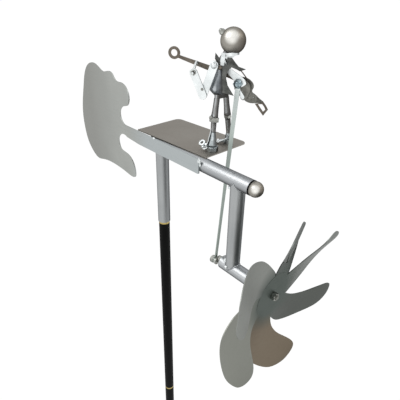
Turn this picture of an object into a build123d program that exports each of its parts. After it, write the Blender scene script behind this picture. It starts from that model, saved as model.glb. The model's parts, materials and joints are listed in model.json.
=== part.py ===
"""Garden windmill: a propeller drives a small metal musician through a crank and a rod.

All sizes are millimetres. +Z is up, the ground is at zero, the pole stands on the Z axis and the
boom points along +X with the propeller at its front. The figure has a frame of its own:
u forwards, v to its left, z above the platform.
"""

import os
from math import cos, hypot, radians, sin, sqrt

from build123d import *

os.makedirs("parts", exist_ok=True)
BASE = (Align.CENTER, Align.CENTER, Align.MIN)
TOP = (Align.CENTER, Align.CENTER, Align.MAX)

# ---- fits ----------------------------------------------------------------------------------
RUNNING = 0.05  # radial clearance of a shaft in its bush
PASSING = 0.4  # between flat faces that move past one another
BALL_GAP = 0.3  # between the pivot ball and its thrust plug

# ---- pole ----------------------------------------------------------------------------------
POLE_R = 9.0
POLE_WALL = 1.5
SECTION = 420.0  # visible length of one pole section
SECTIONS = 3
COLLAR = 3.0  # thickness of the brass collar between two sections
SPIGOT = 30.0  # how far a connector reaches into a section
SPIKE_R = 6.0
SPIKE_LENGTH = 150.0  # straight part in the ground
SPIKE_POINT = 40.0
SPIKE_TIP_R = 1.0
SPIKE_FLANGE_R = 20.0
POLE_BORE = POLE_R - POLE_WALL

# ---- yaw pivot -----------------------------------------------------------------------------
PIVOT_RING = 3.2
SPINDLE_R = 4.0
SPINDLE_LENGTH = 80.0
CUP_R = 3.0  # mouth of the conical cup on the spindle
BALL_R = 4.0
PLUG_LENGTH = 10.0
BUSH_LENGTH = 15.0
BUSH_INSET = 0.5

# ---- welded head frame ---------------------------------------------------------------------
TUBE_R = 10.0
TUBE_WALL = 1.5
TUBE_BORE = TUBE_R - TUBE_WALL
SLEEVE_DROP = 132.0  # boom axis to the lower end of the sleeve
BOOM_BACK = -20.0
BOOM_FRONT = 181.7
HUB_DROP = 135.6  # boom axis to propeller axis
STRUT_X = 158.65
HUB_BACK = 140.0
HUB_FRONT = 215.0
PLUG_FLANGE = 1.5
PLUG_STEM = 8.0

RING_TOP = SECTIONS * SECTION + (SECTIONS - 1) * COLLAR + PIVOT_RING
SLEEVE_LOW = RING_TOP + PASSING
BOOM_Z = SLEEVE_LOW + SLEEVE_DROP
HUB_Z = BOOM_Z - HUB_DROP

# ---- sheet parts ---------------------------------------------------------------------------
TAIL_SHEET = 2.0
TAIL_BAR_TOP = 12.0
TAIL_BAR_LOW = -9.5
TAIL_BAR_FRONT = 96.7
TAIL_BAR_BACK = -45.0  # where the vane's lower edge meets the bar
BAR_CORNER = 1.5
PLATE_SHEET = 1.5
PLATE_LENGTH = 152.0
PLATE_DEPTH = 86.0
PLATE_FRONT = 95.5
PLATE_NEAR = -3.5
PLATE_TURN = 2.5
PLATE_FAR_CORNER = 9.0
PLATE_NEAR_CORNER = 1.5
PLATE_TOP = BOOM_Z + TUBE_R + PLATE_SHEET
PLATE_X = PLATE_FRONT - PLATE_LENGTH / 2
PLATE_Y = PLATE_NEAR + PLATE_DEPTH / 2

# ---- propeller, shaft and crank ------------------------------------------------------------
SHAFT_R = 3.0
NUT_FLATS = 10.0
NUT_HEIGHT = 5.0
CORNER_SHARE = 0.9  # how much of a nut's corner its chamfer takes
DOME_SHARE = 0.92  # a cap's dome as a share of its nut's width
WASHER_R = 6.5
WASHER = 1.4
PROP_X = 231.4  # middle of the propeller sheet
PROP_SHEET = 1.2
DISC_SHEET = 1.6
DISC_R = 33.0
SHAFT_FRONT = 239.2
CRANK_BACK = 130.5
CRANK_SHEET = 2.5
CRANK_END_R = 5.0
THROW = 5.0
CRANK_PHASE = 200.0
CRANK_GAP = 0.5
CRANK_BOLT_R = 2.5
CRANK_HEAD = 1.0
CRANK_HEAD_R = 4.2
BOLT_PROUD = 0.8
BLADES = 6
SLOT_R = 36.6
SLOT_ANGLE = 92.9  # first slot, from +Y towards +Z
LEAN = (1, 0.058, -0.039)  # normal of the sheet, clamped a little out of true
LEAN_GAP = 0.45
BEND_R = 30.0
BEND_SPAN = 8.0

# ---- rod -----------------------------------------------------------------------------------
ROD_SHEET = 1.5
ROD_WIDTH = 6.0
ROD_EYE_R = 4.6
ROD_TAB = 9.0
ROD_STEPS = 8
KNUCKLE_SHARE = 0.46

# ---- figure --------------------------------------------------------------------------------
FIGURE_X = 72.5
FIGURE_Y = 39.0
FIGURE_FACING = 215.0  # heading of the figure's front, from +X towards +Y
ARM_SHEET = 2.0
ARM_WIDTH = 10.6
HEAD_R = 16.2


def save(shape, name):
    """Writes one node."""
    export_step(shape, f"parts/{name}.step")


def save_set(shapes, name):
    """Writes several equal pieces as one node of separate solids."""
    save(Compound(children=[Part(shape.wrapped) for shape in shapes]), name)


def pin(start, direction, radius, length):
    """A round bar from a point."""
    return Plane(origin=start, z_dir=direction).location * Cylinder(radius, length, align=BASE)


def rod_between(start, end, radius, end_radius=None):
    """A round or tapered bar between two points."""
    axis = Vector(*end) - Vector(*start)
    place = Plane(origin=start, z_dir=axis).location
    if end_radius is None:
        return place * Cylinder(radius, axis.length, align=BASE)
    return place * Cone(radius, end_radius, axis.length, align=BASE)


def ring(start, direction, radius, length, bore):
    """A washer, collar, bush or tube."""
    return pin(start, direction, radius, length) - pin(start, direction, bore, length)


def hex_nut(start, direction, flats, height, bore):
    """A hexagon nut with chamfered corners, bored for its bolt."""
    corner = flats / sqrt(3)
    blank = Cylinder(corner, height, align=BASE)
    blank = chamfer(blank.edges().filter_by(GeomType.CIRCLE), (corner - flats / 2) * CORNER_SHARE)
    body = extrude(RegularPolygon(flats / 2, 6, major_radius=False), height) & blank
    body -= Cylinder(bore, height, align=BASE)
    return Plane(origin=start, z_dir=direction).location * body


def cap_nut(start, direction, flats, height, bore, depth):
    """A nut closed by a dome."""
    body = hex_nut((0, 0, 0), (0, 0, 1), flats, height, bore)
    dome = Pos(0, 0, height) * Sphere(flats / 2 * DOME_SHARE)
    dome -= Pos(0, 0, height) * Box(flats * 2, flats * 2, flats, align=TOP)
    dome -= Cylinder(bore, depth, align=BASE)
    return Plane(origin=start, z_dir=direction).location * (body + dome)


def upright(edges, thickness):
    """A sheet cut to an outline that stands in a plane of constant second coordinate."""
    return extrude(Face(Wire(edges)), thickness, dir=(0, 1, 0))


def cut_sheet(line, low, thickness):
    """A flat sheet cut to straight runs between (u, z) corners, from v = low upwards."""
    return upright(Polyline(*[(u, low, z) for u, z in line], close=True).edges(), thickness)


def link(start, end, width, low, thickness):
    """A flat bar with round ends in a plane of constant v, between two (u, z) points."""
    (u0, z0), (u1, z1) = start, end
    length = hypot(u1 - u0, z1 - z0)
    place = Plane(
        origin=((u0 + u1) / 2, low, (z0 + z1) / 2),
        x_dir=(u1 - u0, 0, z1 - z0),
        z_dir=(0, 1, 0),
    )
    return place.location * extrude(SlotCenterToCenter(length, width), thickness)


# ============================================================================================
# Pole and ground spike
# ============================================================================================
spike = pin((0, 0, -SPIKE_LENGTH), (0, 0, 1), SPIKE_R, SPIKE_LENGTH - COLLAR)
spike += pin((0, 0, -COLLAR), (0, 0, 1), SPIKE_FLANGE_R, COLLAR)
spike += rod_between(
    (0, 0, -SPIKE_LENGTH - SPIKE_POINT), (0, 0, -SPIKE_LENGTH), SPIKE_TIP_R, SPIKE_R
)
spike += pin((0, 0, 0), (0, 0, 1), POLE_BORE, SPIGOT)
save(spike, "ground_spike")

section_names = ["pole_lower", "pole_middle", "pole_upper"]
for index, name in enumerate(section_names):
    foot = index * (SECTION + COLLAR)
    save(ring((0, 0, foot), (0, 0, 1), POLE_R, SECTION, POLE_BORE), name)

for index, name in enumerate(["pole_connector_lower", "pole_connector_upper"]):
    seat = SECTION + index * (SECTION + COLLAR)
    connector = pin((0, 0, seat - SPIGOT), (0, 0, 1), POLE_BORE, 2 * SPIGOT + COLLAR)
    connector += pin((0, 0, seat), (0, 0, 1), POLE_R, COLLAR)
    save(connector, name)

# ============================================================================================
# Yaw pivot: spindle with a ball on a conical cup
# ============================================================================================
spindle_top = RING_TOP + SPINDLE_LENGTH
ball_z = spindle_top - CUP_R + BALL_R * sqrt(2)
spindle = pin((0, 0, RING_TOP - PIVOT_RING - SPIGOT), (0, 0, 1), POLE_BORE, SPIGOT)
spindle += pin((0, 0, RING_TOP - PIVOT_RING), (0, 0, 1), POLE_R, PIVOT_RING)
spindle += pin((0, 0, RING_TOP), (0, 0, 1), SPINDLE_R, SPINDLE_LENGTH)
spindle -= rod_between((0, 0, spindle_top - CUP_R), (0, 0, spindle_top), 0, CUP_R)
save(spindle, "pivot_spindle")
save(Pos(0, 0, ball_z) * Sphere(BALL_R), "pivot_ball")

plug_low = ball_z + BALL_R + BALL_GAP
save(pin((0, 0, plug_low), (0, 0, 1), TUBE_BORE, PLUG_LENGTH), "thrust_plug")
bush_bore = SPINDLE_R + RUNNING
bush_low = SLEEVE_LOW + BUSH_INSET
bush_high = spindle_top - CUP_R - BUSH_LENGTH
save_set(
    [ring((0, 0, z), (0, 0, 1), TUBE_BORE, BUSH_LENGTH, bush_bore) for z in (bush_low, bush_high)],
    "sleeve_bushes",
)

# ============================================================================================
# Welded tubes of the head
# ============================================================================================
boom_solid = pin((BOOM_BACK, 0, BOOM_Z), (1, 0, 0), TUBE_R, BOOM_FRONT - BOOM_BACK)
hub_solid = pin((HUB_BACK, 0, HUB_Z), (1, 0, 0), TUBE_R, HUB_FRONT - HUB_BACK)
sleeve = ring((0, 0, SLEEVE_LOW), (0, 0, 1), TUBE_R, SLEEVE_DROP, TUBE_BORE) - boom_solid
save(sleeve, "yaw_sleeve")
boom_bore = pin((BOOM_BACK, 0, BOOM_Z), (1, 0, 0), TUBE_BORE, BOOM_FRONT - BOOM_BACK)
save(boom_solid - boom_bore, "boom_tube")
rear_plug = pin((BOOM_BACK, 0, BOOM_Z), (1, 0, 0), TUBE_BORE, PLUG_STEM)
rear_plug += pin((BOOM_BACK, 0, BOOM_Z), (-1, 0, 0), TUBE_R, PLUG_FLANGE)
save(rear_plug, "boom_rear_plug")
end_ball_x = BOOM_FRONT + sqrt(TUBE_R**2 - TUBE_BORE**2)
save(Pos(end_ball_x, 0, BOOM_Z) * Sphere(TUBE_R), "boom_end_ball")
strut = ring((STRUT_X, 0, HUB_Z), (0, 0, 1), TUBE_R, HUB_DROP, TUBE_BORE) - boom_solid - hub_solid
save(strut, "strut_tube")
hub_bore = pin((HUB_BACK, 0, HUB_Z), (1, 0, 0), TUBE_BORE, HUB_FRONT - HUB_BACK)
save(hub_solid - hub_bore, "hub_tube")
shaft_bore = SHAFT_R + RUNNING
hub_bush_starts = (HUB_BACK + BUSH_INSET, HUB_FRONT - BUSH_INSET - BUSH_LENGTH)
save_set(
    [ring((x, 0, HUB_Z), (1, 0, 0), TUBE_BORE, BUSH_LENGTH, shaft_bore) for x in hub_bush_starts],
    "hub_bushes",
)

# ============================================================================================
# Tail vane and its bar, one flat sheet welded along the boom
# ============================================================================================
TAIL_CURVE = [
    (-82, TAIL_BAR_TOP), (-93, 19), (-95, 31), (-87, 41), (-71, 47), (-66, 58), (-70, 71), (-86, 78.5),
    (-102, 79.5), (-111, 88), (-124, 90), (-140, 87), (-154, 92), (-172, 96), (-188, 91), (-202, 77),
    (-214, 50), (-225, 20), (-230, -8), (-228, -32), (-220, -55), (-207, -69), (-189, -78),
    (-168, -75), (-142, -71), (-116, -71), (-91, -73), (-73, -75), (-62.5, -72), (-61, -64),
    (-65, -50), (-75, -40), (-90, -36.5), (-101, -34), (-106, -25), (-105.5, -15), (-99, -8), (-79, -7),
]


def tail_outline():
    """Closed outline of the vane and bar in a plane of constant y."""
    y = -TUBE_R - TAIL_SHEET
    curve = [(x, y, BOOM_Z + z) for x, z in TAIL_CURVE]
    front = TAIL_BAR_FRONT
    top, low = BOOM_Z + TAIL_BAR_TOP, BOOM_Z + TAIL_BAR_LOW
    r = BAR_CORNER
    corner = r * (1 - sqrt(0.5))
    low_start = (TAIL_BAR_BACK, y, low)
    return [
        Spline(*curve),
        Line(curve[-1], low_start),
        Line(low_start, (front - r, y, low)),
        ThreePointArc((front - r, y, low), (front - corner, y, low + corner), (front, y, low + r)),
        Line((front, y, low + r), (front, y, top - r)),
        ThreePointArc((front, y, top - r), (front - corner, y, top - corner), (front - r, y, top)),
        Line((front - r, y, top), curve[0]),
    ]


save(upright(tail_outline(), TAIL_SHEET), "tail_vane")

# ============================================================================================
# Platform
# ============================================================================================
plate_sketch = Rectangle(PLATE_LENGTH, PLATE_DEPTH)
far = plate_sketch.vertices().group_by(Axis.Y)[-1]
plate_sketch = fillet(far, PLATE_FAR_CORNER)
near = plate_sketch.vertices().group_by(Axis.Y)[0]
plate_sketch = fillet(near, PLATE_NEAR_CORNER)
plate = extrude(plate_sketch, PLATE_SHEET)
save(Pos(PLATE_X, PLATE_Y, PLATE_TOP - PLATE_SHEET) * Rot(0, 0, PLATE_TURN) * plate, "platform")

# ============================================================================================
# Propeller shaft, nuts, washers and crank arm
# ============================================================================================
AXLE = (1, 0, 0)


def on_shaft(x):
    """A point on the propeller axis."""
    return (x, 0, HUB_Z)


save(pin(on_shaft(CRANK_BACK), AXLE, SHAFT_R, SHAFT_FRONT - CRANK_BACK), "propeller_shaft")
crank_front = CRANK_BACK + CRANK_SHEET
rear_washer_x = crank_front + NUT_HEIGHT
front_washer_x = HUB_FRONT + PASSING
save_set(
    [ring(on_shaft(x), AXLE, WASHER_R, WASHER, SHAFT_R) for x in (rear_washer_x, front_washer_x)],
    "shaft_washers",
)
disc_back = PROP_X - DISC_SHEET / 2 - LEAN_GAP
disc_front = PROP_X + DISC_SHEET / 2 + LEAN_GAP
shaft_nut_starts = (crank_front, front_washer_x + WASHER, disc_back - NUT_HEIGHT, disc_front)
save_set(
    [hex_nut(on_shaft(x), AXLE, NUT_FLATS, NUT_HEIGHT, SHAFT_R) for x in shaft_nut_starts],
    "shaft_nuts",
)

crank_y = THROW * cos(radians(CRANK_PHASE))
crank_z = HUB_Z + THROW * sin(radians(CRANK_PHASE))
crank_sketch = SlotCenterToCenter(THROW, 2 * CRANK_END_R)
crank_arm = Plane(
    origin=(CRANK_BACK, crank_y / 2, (crank_z + HUB_Z) / 2),
    x_dir=(0, crank_y, crank_z - HUB_Z),
    z_dir=AXLE,
).location * extrude(crank_sketch, CRANK_SHEET)
crank_arm -= pin(on_shaft(CRANK_BACK), AXLE, SHAFT_R, CRANK_SHEET)
save(crank_arm, "crank_arm")

# ---- propeller: one sheet, slotted into six blades that are twisted and swept ---------------
BLADE_TWIST = {
    "turn": 0.535,
    "cup": 0.36,
    "roll": -0.173,
    "bend": -0.10,
    "sweep": -0.295,
    "tip": 0.068,
}
SECTION_SHARES = (0, 0.25, 0.5, 0.75, 1)
BLADE_UNIT = 50.0
# Matching places on the two edges of a blade, out from the slot ends to the tip.
LOW_EDGE = [
    (22.5, -13), (31.7, -18.3), (44, -18.6), (58, -17.2), (73, -13.4), (88, -4.6), (99.5, 7.5), (105.8, 22),
    (108.5, 36), (107.2, 47.5), (103, 56), (99.2, 61.5),
]
HIGH_EDGE = [
    (22.5, 13), (31.7, 18.3), (43, 23.5), (51, 31), (56, 40), (58.8, 50), (62, 61), (67, 69),
    (74, 73), (82, 73.6), (89.5, 70.8), (95.5, 66.2),
]


def blade_rise(a, b):
    """How far forward of the disc the sheet stands at a place on the blade."""
    reach = max(hypot(a, b) - BEND_R, 0)
    reach = reach * reach / (reach + BEND_SPAN)
    s = b / BLADE_UNIT
    t = BLADE_TWIST
    slope = t["turn"] * s + t["cup"] * s * s + t["roll"] * s**3
    bend = (t["bend"] + t["sweep"] * s) * reach / BLADE_UNIT + t["tip"] * (reach / BLADE_UNIT) ** 2
    return reach * (slope + bend)


def blade_section(low, high):
    """A curved slice across the blade, one sheet thick."""
    half = PROP_SHEET / 2
    places = [tuple(p + (q - p) * share for p, q in zip(low, high)) for share in SECTION_SHARES]
    front = [(a, b, blade_rise(a, b) + half) for a, b in places]
    back = [(a, b, z - PROP_SHEET) for a, b, z in reversed(front)]
    return Wire([Spline(*front), Line(front[-1], back[0]), Spline(*back), Line(back[-1], front[0])])


blade = Solid.make_loft([blade_section(low, high) for low, high in zip(LOW_EDGE, HIGH_EDGE)])
blade_frame = Plane(origin=on_shaft(PROP_X), x_dir=(0, 1, 0), z_dir=LEAN).location
propeller = blade_frame * Cylinder(DISC_R, DISC_SHEET)
for k in range(BLADES):
    turn = SLOT_ANGLE - 180 / BLADES - k * 360 / BLADES
    propeller += blade_frame * Rot(0, 0, turn) * Part(blade.wrapped)
propeller -= pin(on_shaft(disc_back - NUT_HEIGHT), AXLE, SHAFT_R, DISC_SHEET + 2 * NUT_HEIGHT)
save(propeller, "propeller")

# ============================================================================================
# Figure: everything below is built in the figure's own frame
# ============================================================================================
FIGURE = Plane(
    origin=(FIGURE_X, FIGURE_Y, PLATE_TOP),
    x_dir=(cos(radians(FIGURE_FACING)), sin(radians(FIGURE_FACING)), 0),
    z_dir=(0, 0, 1),
)


def save_figure(shape, name):
    """Writes one node of the figure."""
    save(FIGURE.location * shape, name)


LEFTWARDS = (0, 1, 0)
RIGHTWARDS = (0, -1, 0)
UP = (0, 0, 1)

# ---- torso, hip bar, neck and head -----------------------------------------------------------
TORSO_U = -4.5
TORSO_TOP = 118.0
torso_line = [(0, 75), (7.4, 75), (8.2, 79), (8.2, 84), (5.4, 110), (5.0, TORSO_TOP), (0, TORSO_TOP)]
torso = revolve(make_face(Polyline(*[(r, 0, z) for r, z in torso_line], close=True)), Axis.Z)
solid_torso = Pos(TORSO_U, 0, 0) * torso
HIP_LEFT = (-2.7, 7.0)
HIP_RIGHT = (-12.4, -7.0)
HIP_LOW = 69.5
HIP_HIGH = 75.0
HIP_R = 3.4
hip_length = hypot(HIP_LEFT[0] - HIP_RIGHT[0], HIP_LEFT[1] - HIP_RIGHT[1])
hip_bar = Plane(
    origin=((HIP_LEFT[0] + HIP_RIGHT[0]) / 2, (HIP_LEFT[1] + HIP_RIGHT[1]) / 2, HIP_LOW),
    x_dir=(HIP_LEFT[0] - HIP_RIGHT[0], HIP_LEFT[1] - HIP_RIGHT[1], 0),
    z_dir=UP,
).location * extrude(SlotCenterToCenter(hip_length, 2 * HIP_R), HIP_HIGH - HIP_LOW)
save_figure(hip_bar, "hip_bar")

HEAD_AT = (-19.2, 0, 141.2)
NECK_R = 2.9
NECK_IN_BALL = 6.0
NECK_RISE = 2.0
neck_foot = Vector(TORSO_U, 0, TORSO_TOP)
neck_dir = (Vector(*HEAD_AT) - neck_foot).normalized()
neck_end = Vector(*HEAD_AT) - neck_dir * (HEAD_R - NECK_IN_BALL)
neck = rod_between(neck_foot + neck_dir * NECK_RISE, neck_end, NECK_R)
neck += rod_between(neck_foot, neck_foot + neck_dir * NECK_R, NECK_R)
neck = neck - solid_torso
head_ball = Pos(*HEAD_AT) * Sphere(HEAD_R)
save_figure(neck, "neck_bolt")
save_figure(head_ball - neck, "head_ball")

NOSE_TURN = 10.0
NOSE_LIFT = 35.0
nose_dir = Vector(
    cos(radians(NOSE_TURN)) * cos(radians(NOSE_LIFT)),
    sin(radians(NOSE_TURN)) * cos(radians(NOSE_LIFT)),
    sin(radians(NOSE_LIFT)),
)
NOSE_SEAT = 15.6
NOSE_FLATS = 7.0
NOSE_HEIGHT = 3.2
NOSE_BORE = 2.0
NOSE_DEPTH = 1.0
nose_seat = Vector(*HEAD_AT) + nose_dir * NOSE_SEAT
nose = cap_nut(nose_seat, nose_dir, NOSE_FLATS, NOSE_HEIGHT, NOSE_BORE, NOSE_DEPTH)
save_figure(nose - head_ball, "nose_nut")

# ---- collar: a narrow strip bent round the neck under the head ------------------------------
COLLAR_R = 10.5
COLLAR_SHEET = 1.2
COLLAR_HEIGHT = 4.0
COLLAR_AT = (-17.5, 0, TORSO_TOP + 6.0)
COLLAR_TILT = 0.12  # rise of the collar's back for each unit forwards
collar_place = Plane(origin=COLLAR_AT, x_dir=(1, 0, -COLLAR_TILT), z_dir=(COLLAR_TILT, 0, 1)).location
collar_strip = Cylinder(COLLAR_R, COLLAR_HEIGHT, align=BASE)
collar_strip -= Cylinder(COLLAR_R - COLLAR_SHEET, COLLAR_HEIGHT, align=BASE)
collar_strip = collar_place * collar_strip - head_ball - neck
save_figure(collar_strip, "collar")

# ---- coat: back sheet with a pointed tail, cape with pointed shoulders -----------------------
COAT_SHEET = 1.2
COAT_LOW = 3.0

coat_line = [
    (-7, 122), (-12.5, 123.5), (-19, 123), (-24.5, 115), (-28, 110.5), (-38, 107.6), (-30.5, 104.8),
    (-25.5, 107), (-19.5, 109), (-13.5, 103), (-13, 95), (-15.5, 86), (-24.2, 73.2), (-13.6, 75.3),
    (-8, 76),
]
coat = cut_sheet(coat_line, COAT_LOW, COAT_SHEET)
save_figure(coat - solid_torso, "coat")
lapel_line = [(-9, 119), (-3.5, 120.5), (1.7, 126.5), (2.2, 119.5), (-1.5, 112.5), (-8, 113)]
LAPEL_V = 4.6
lapel = cut_sheet(lapel_line, LAPEL_V, COAT_SHEET)

# ---- shoulders ---------------------------------------------------------------------------
SHOULDER_LEFT = (1.7, 112.3)
SHOULDER_RIGHT = (-11.1, 116.5)
SHOULDER_BAR_R = 2.6
ARM_LEFT_V = 10.0
ARM_RIGHT_V = -9.0
STUB_R = 3.0
BAR_RIGHT_V = -3.5
BAR_LEFT_V = 7.0
STUB_OVERLAP = 2.0
BOLT_R = 2.0
RIGHT_HEAD = 1.8
HEAD_FLANGE_R = 3.4  # round heads of the shoulder and elbow bolts
LEFT_NUT = 3.2
LEFT_NUT_FLATS = 7.0


def right_shoulder(v):
    """A point on the right shoulder's axis."""
    return (SHOULDER_RIGHT[0], v, SHOULDER_RIGHT[1])


def left_shoulder(v):
    """A point on the left shoulder's axis."""
    return (SHOULDER_LEFT[0], v, SHOULDER_LEFT[1])


right_stub_end = ARM_RIGHT_V + ARM_SHEET + PASSING
right_bolt_end = ARM_RIGHT_V - PASSING - RIGHT_HEAD
left_bolt_end = ARM_LEFT_V + ARM_SHEET + LEFT_NUT + BOLT_PROUD
shoulder_bar = rod_between(right_shoulder(BAR_RIGHT_V), left_shoulder(BAR_LEFT_V), SHOULDER_BAR_R)
right_stub_start = BAR_RIGHT_V + STUB_OVERLAP
left_stub_start = BAR_LEFT_V - STUB_OVERLAP
shoulder_bar += rod_between(right_shoulder(right_stub_start), right_shoulder(right_stub_end), STUB_R)
shoulder_bar += rod_between(left_shoulder(left_stub_start), left_shoulder(ARM_LEFT_V), STUB_R)
shoulder_bar += rod_between(right_shoulder(BAR_RIGHT_V), right_shoulder(right_bolt_end), BOLT_R)
shoulder_bar += rod_between(left_shoulder(BAR_LEFT_V), left_shoulder(left_bolt_end), BOLT_R)
save_figure(shoulder_bar, "shoulder_bar")
save_figure(solid_torso - shoulder_bar, "torso")
save_figure(lapel - shoulder_bar - solid_torso, "lapel")
save_figure(
    ring(right_shoulder(ARM_RIGHT_V - PASSING), RIGHTWARDS, HEAD_FLANGE_R, RIGHT_HEAD, BOLT_R),
    "right_shoulder_collar",
)
save_figure(
    hex_nut(left_shoulder(ARM_LEFT_V + ARM_SHEET), LEFTWARDS, LEFT_NUT_FLATS, LEFT_NUT, BOLT_R),
    "left_shoulder_nut",
)

# ---- left arm: fixed, holds the neck of the instrument --------------------------------------
ELBOW_LEFT = (14.9, 78.7)
HAND_LEFT = (29.2, 101.5)
RIVET_RISE = 4.5
RIVET_R = 1.2
left_upper = link(SHOULDER_LEFT, ELBOW_LEFT, ARM_WIDTH, ARM_LEFT_V, ARM_SHEET)
left_upper -= pin(left_shoulder(ARM_LEFT_V), LEFTWARDS, BOLT_R, ARM_SHEET)
RIVET_FORWARD = 0.3
fore_low = ARM_LEFT_V + ARM_SHEET


def left_rivet(v):
    """A point on the rivet that joins the left arm's two pieces."""
    return (ELBOW_LEFT[0] + RIVET_FORWARD, v, ELBOW_LEFT[1] + RIVET_RISE)


rivet = pin(left_rivet(ARM_LEFT_V), LEFTWARDS, RIVET_R, 2 * ARM_SHEET)
save_figure(left_upper - rivet, "left_upper_arm")
left_fore = link(ELBOW_LEFT, HAND_LEFT, ARM_WIDTH, fore_low, ARM_SHEET) - rivet
HAND_BOLT_R = 1.7
left_fore -= pin((HAND_LEFT[0], fore_low, HAND_LEFT[1]), LEFTWARDS, HAND_BOLT_R, ARM_SHEET)
save_figure(left_fore, "left_forearm")
head_seat = left_rivet(fore_low + ARM_SHEET)
rivet_head = Pos(*head_seat) * Sphere(RIVET_R * 1.5)
rivet_head &= pin(head_seat, LEFTWARDS, RIVET_R * 2, ARM_SHEET)

# ---- instrument: flat cut steel, neck with a ring, body, disc, handle and strap --------------
NECK_V = -15.5
BODY_V = -17.0
INSTRUMENT_SHEET = 1.5
RING_AT = (62.2, 120.6)
RING_R = 8.2
RING_HOLE = 4.5
neck_line = [
    (56.5, 118.6), (52.6, 117.3), (14, 107.3), (-12, 100.8), (-27, 96.5), (-29.5, 87), (-12, 93),
    (13.8, 100.2), (52.2, 112.8), (57, 114.5),
]
neck_sheet = cut_sheet(neck_line, NECK_V, INSTRUMENT_SHEET)
neck_sheet += pin((RING_AT[0], NECK_V, RING_AT[1]), LEFTWARDS, RING_R, INSTRUMENT_SHEET)
neck_sheet -= pin((RING_AT[0], NECK_V, RING_AT[1]), LEFTWARDS, RING_HOLE, INSTRUMENT_SHEET)
body_back = [
    (-20, 92), (-24, 96), (-30.5, 95), (-37.5, 93.8), (-43, 90.9), (-47, 86.5), (-47.6, 81.5),
    (-46, 76.6), (-50.5, 72.8), (-54.8, 69.2), (-61.9, 64.3),
]
body_front = [
    (-59.5, 62.1), (-52, 61.2), (-44.6, 60.9), (-39, 62.5), (-34.5, 65.6), (-29, 70), (-22, 78),
]
first = [(u, BODY_V, z) for u, z in body_back]
second = [(u, BODY_V, z) for u, z in body_front]
body_edges = [Spline(*first), Line(first[-1], second[0]), Spline(*second), Line(second[-1], first[0])]
body_sheet = upright(body_edges, INSTRUMENT_SHEET)
TAILPIECE_AT = (-48.7, 68.7)
body_sheet -= pin((TAILPIECE_AT[0], BODY_V, TAILPIECE_AT[1]), LEFTWARDS, RIVET_R, INSTRUMENT_SHEET)
save_figure(body_sheet, "instrument_body")
tail_reach = INSTRUMENT_SHEET + RIVET_R / 2
tail_rivet = pin((TAILPIECE_AT[0], BODY_V, TAILPIECE_AT[1]), LEFTWARDS, RIVET_R, tail_reach)
save_figure(Compound(children=[Part((rivet + rivet_head).wrapped), Part(tail_rivet.wrapped)]), "rivets")
DISC_AT = (-38.0, 80.0)
DISC_HALF = (5.2, 7.0)
DISC_THICK = 1.2
DISC_SLOPE = (1, 0, 0.5)
disc_plane = Plane(origin=(DISC_AT[0], NECK_V, DISC_AT[1]), x_dir=DISC_SLOPE, z_dir=LEFTWARDS)
save_figure(disc_plane.location * extrude(Ellipse(*DISC_HALF), DISC_THICK), "instrument_disc")
loop_outer = [
    (-51.4, 60.6), (-57.5, 52.5), (-63.8, 45.1), (-66.5, 49.5), (-69.7, 54), (-66.5, 59), (-61.9, 64.6),
    (-58.3, 62.0),
]
loop_inner = [(-55.3, 60.6), (-58.6, 56.1), (-63.2, 50.6), (-66.0, 53.7), (-64.3, 57.3), (-61.2, 61.0)]
loop = cut_sheet(loop_outer, NECK_V, INSTRUMENT_SHEET) - cut_sheet(loop_inner, NECK_V, INSTRUMENT_SHEET)
save_figure(loop, "instrument_handle")
STUD_AT = (TORSO_U, 99.5)
STUD_R = 2.0
STUD_START = -2.0
stud_end = NECK_V + INSTRUMENT_SHEET
stud = rod_between((STUD_AT[0], STUD_START, STUD_AT[1]), (STUD_AT[0], stud_end, STUD_AT[1]), STUD_R)
save_figure(stud - solid_torso, "instrument_stud")
HOOK_R = 1.6
HOOK_PROUD = 1.5
HOOK_TOP = (HAND_LEFT[0], 2, 108.0)
HOOK_END = (29.5, NECK_V, 107.6)
hook_path = Spline(
    (HAND_LEFT[0], fore_low + ARM_SHEET + HOOK_PROUD, HAND_LEFT[1]),
    (HAND_LEFT[0], fore_low, HAND_LEFT[1]),
    HOOK_TOP,
    HOOK_END,
)
hook_ring = Plane(origin=hook_path @ 0, z_dir=hook_path % 0).location * Circle(HOOK_R)
hook = sweep(hook_ring, path=hook_path)
save_figure(hook - left_fore, "left_hand_hook")
save_figure(neck_sheet - hook, "instrument_neck")

# ---- right arm: driven by the rod -------------------------------------------------------------
ELBOW_RIGHT = (-27.6, 87.6)
HAND_RIGHT = (-35.2, 71.5)
FORE_SHEET = 1.5
right_upper = link(SHOULDER_RIGHT, ELBOW_RIGHT, ARM_WIDTH, ARM_RIGHT_V, ARM_SHEET)
right_upper -= pin(right_shoulder(ARM_RIGHT_V), LEFTWARDS, BOLT_R + RUNNING, ARM_SHEET)


def right_elbow(v):
    """A point on the right elbow's axis."""
    return (ELBOW_RIGHT[0], v, ELBOW_RIGHT[1])


fore_start = ARM_RIGHT_V - FORE_SHEET
elbow_bore = pin(right_elbow(fore_start), LEFTWARDS, BOLT_R, ARM_SHEET + FORE_SHEET)
save_figure(right_upper - elbow_bore, "right_upper_arm")
FORE_WIDTH = 8.5
right_fore = link(ELBOW_RIGHT, HAND_RIGHT, FORE_WIDTH, fore_start, FORE_SHEET) - elbow_bore
save_figure(right_fore, "right_forearm")
rod_low = ARM_RIGHT_V + ARM_SHEET + PASSING
rod_high = rod_low + ROD_SHEET
elbow_nut_v = rod_high + PASSING
ELBOW_NUT = 3.6
ELBOW_FLATS = 9.0
ELBOW_HEAD = 1.0
ELBOW_CAP_DEPTH = 0.01
elbow_start = fore_start - ELBOW_HEAD
elbow_bolt = pin(right_elbow(elbow_start), LEFTWARDS, HEAD_FLANGE_R, ELBOW_HEAD)
elbow_bolt += pin(right_elbow(elbow_start), LEFTWARDS, BOLT_R, elbow_nut_v + ELBOW_NUT - elbow_start)
save_figure(elbow_bolt, "elbow_bolt")
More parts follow.
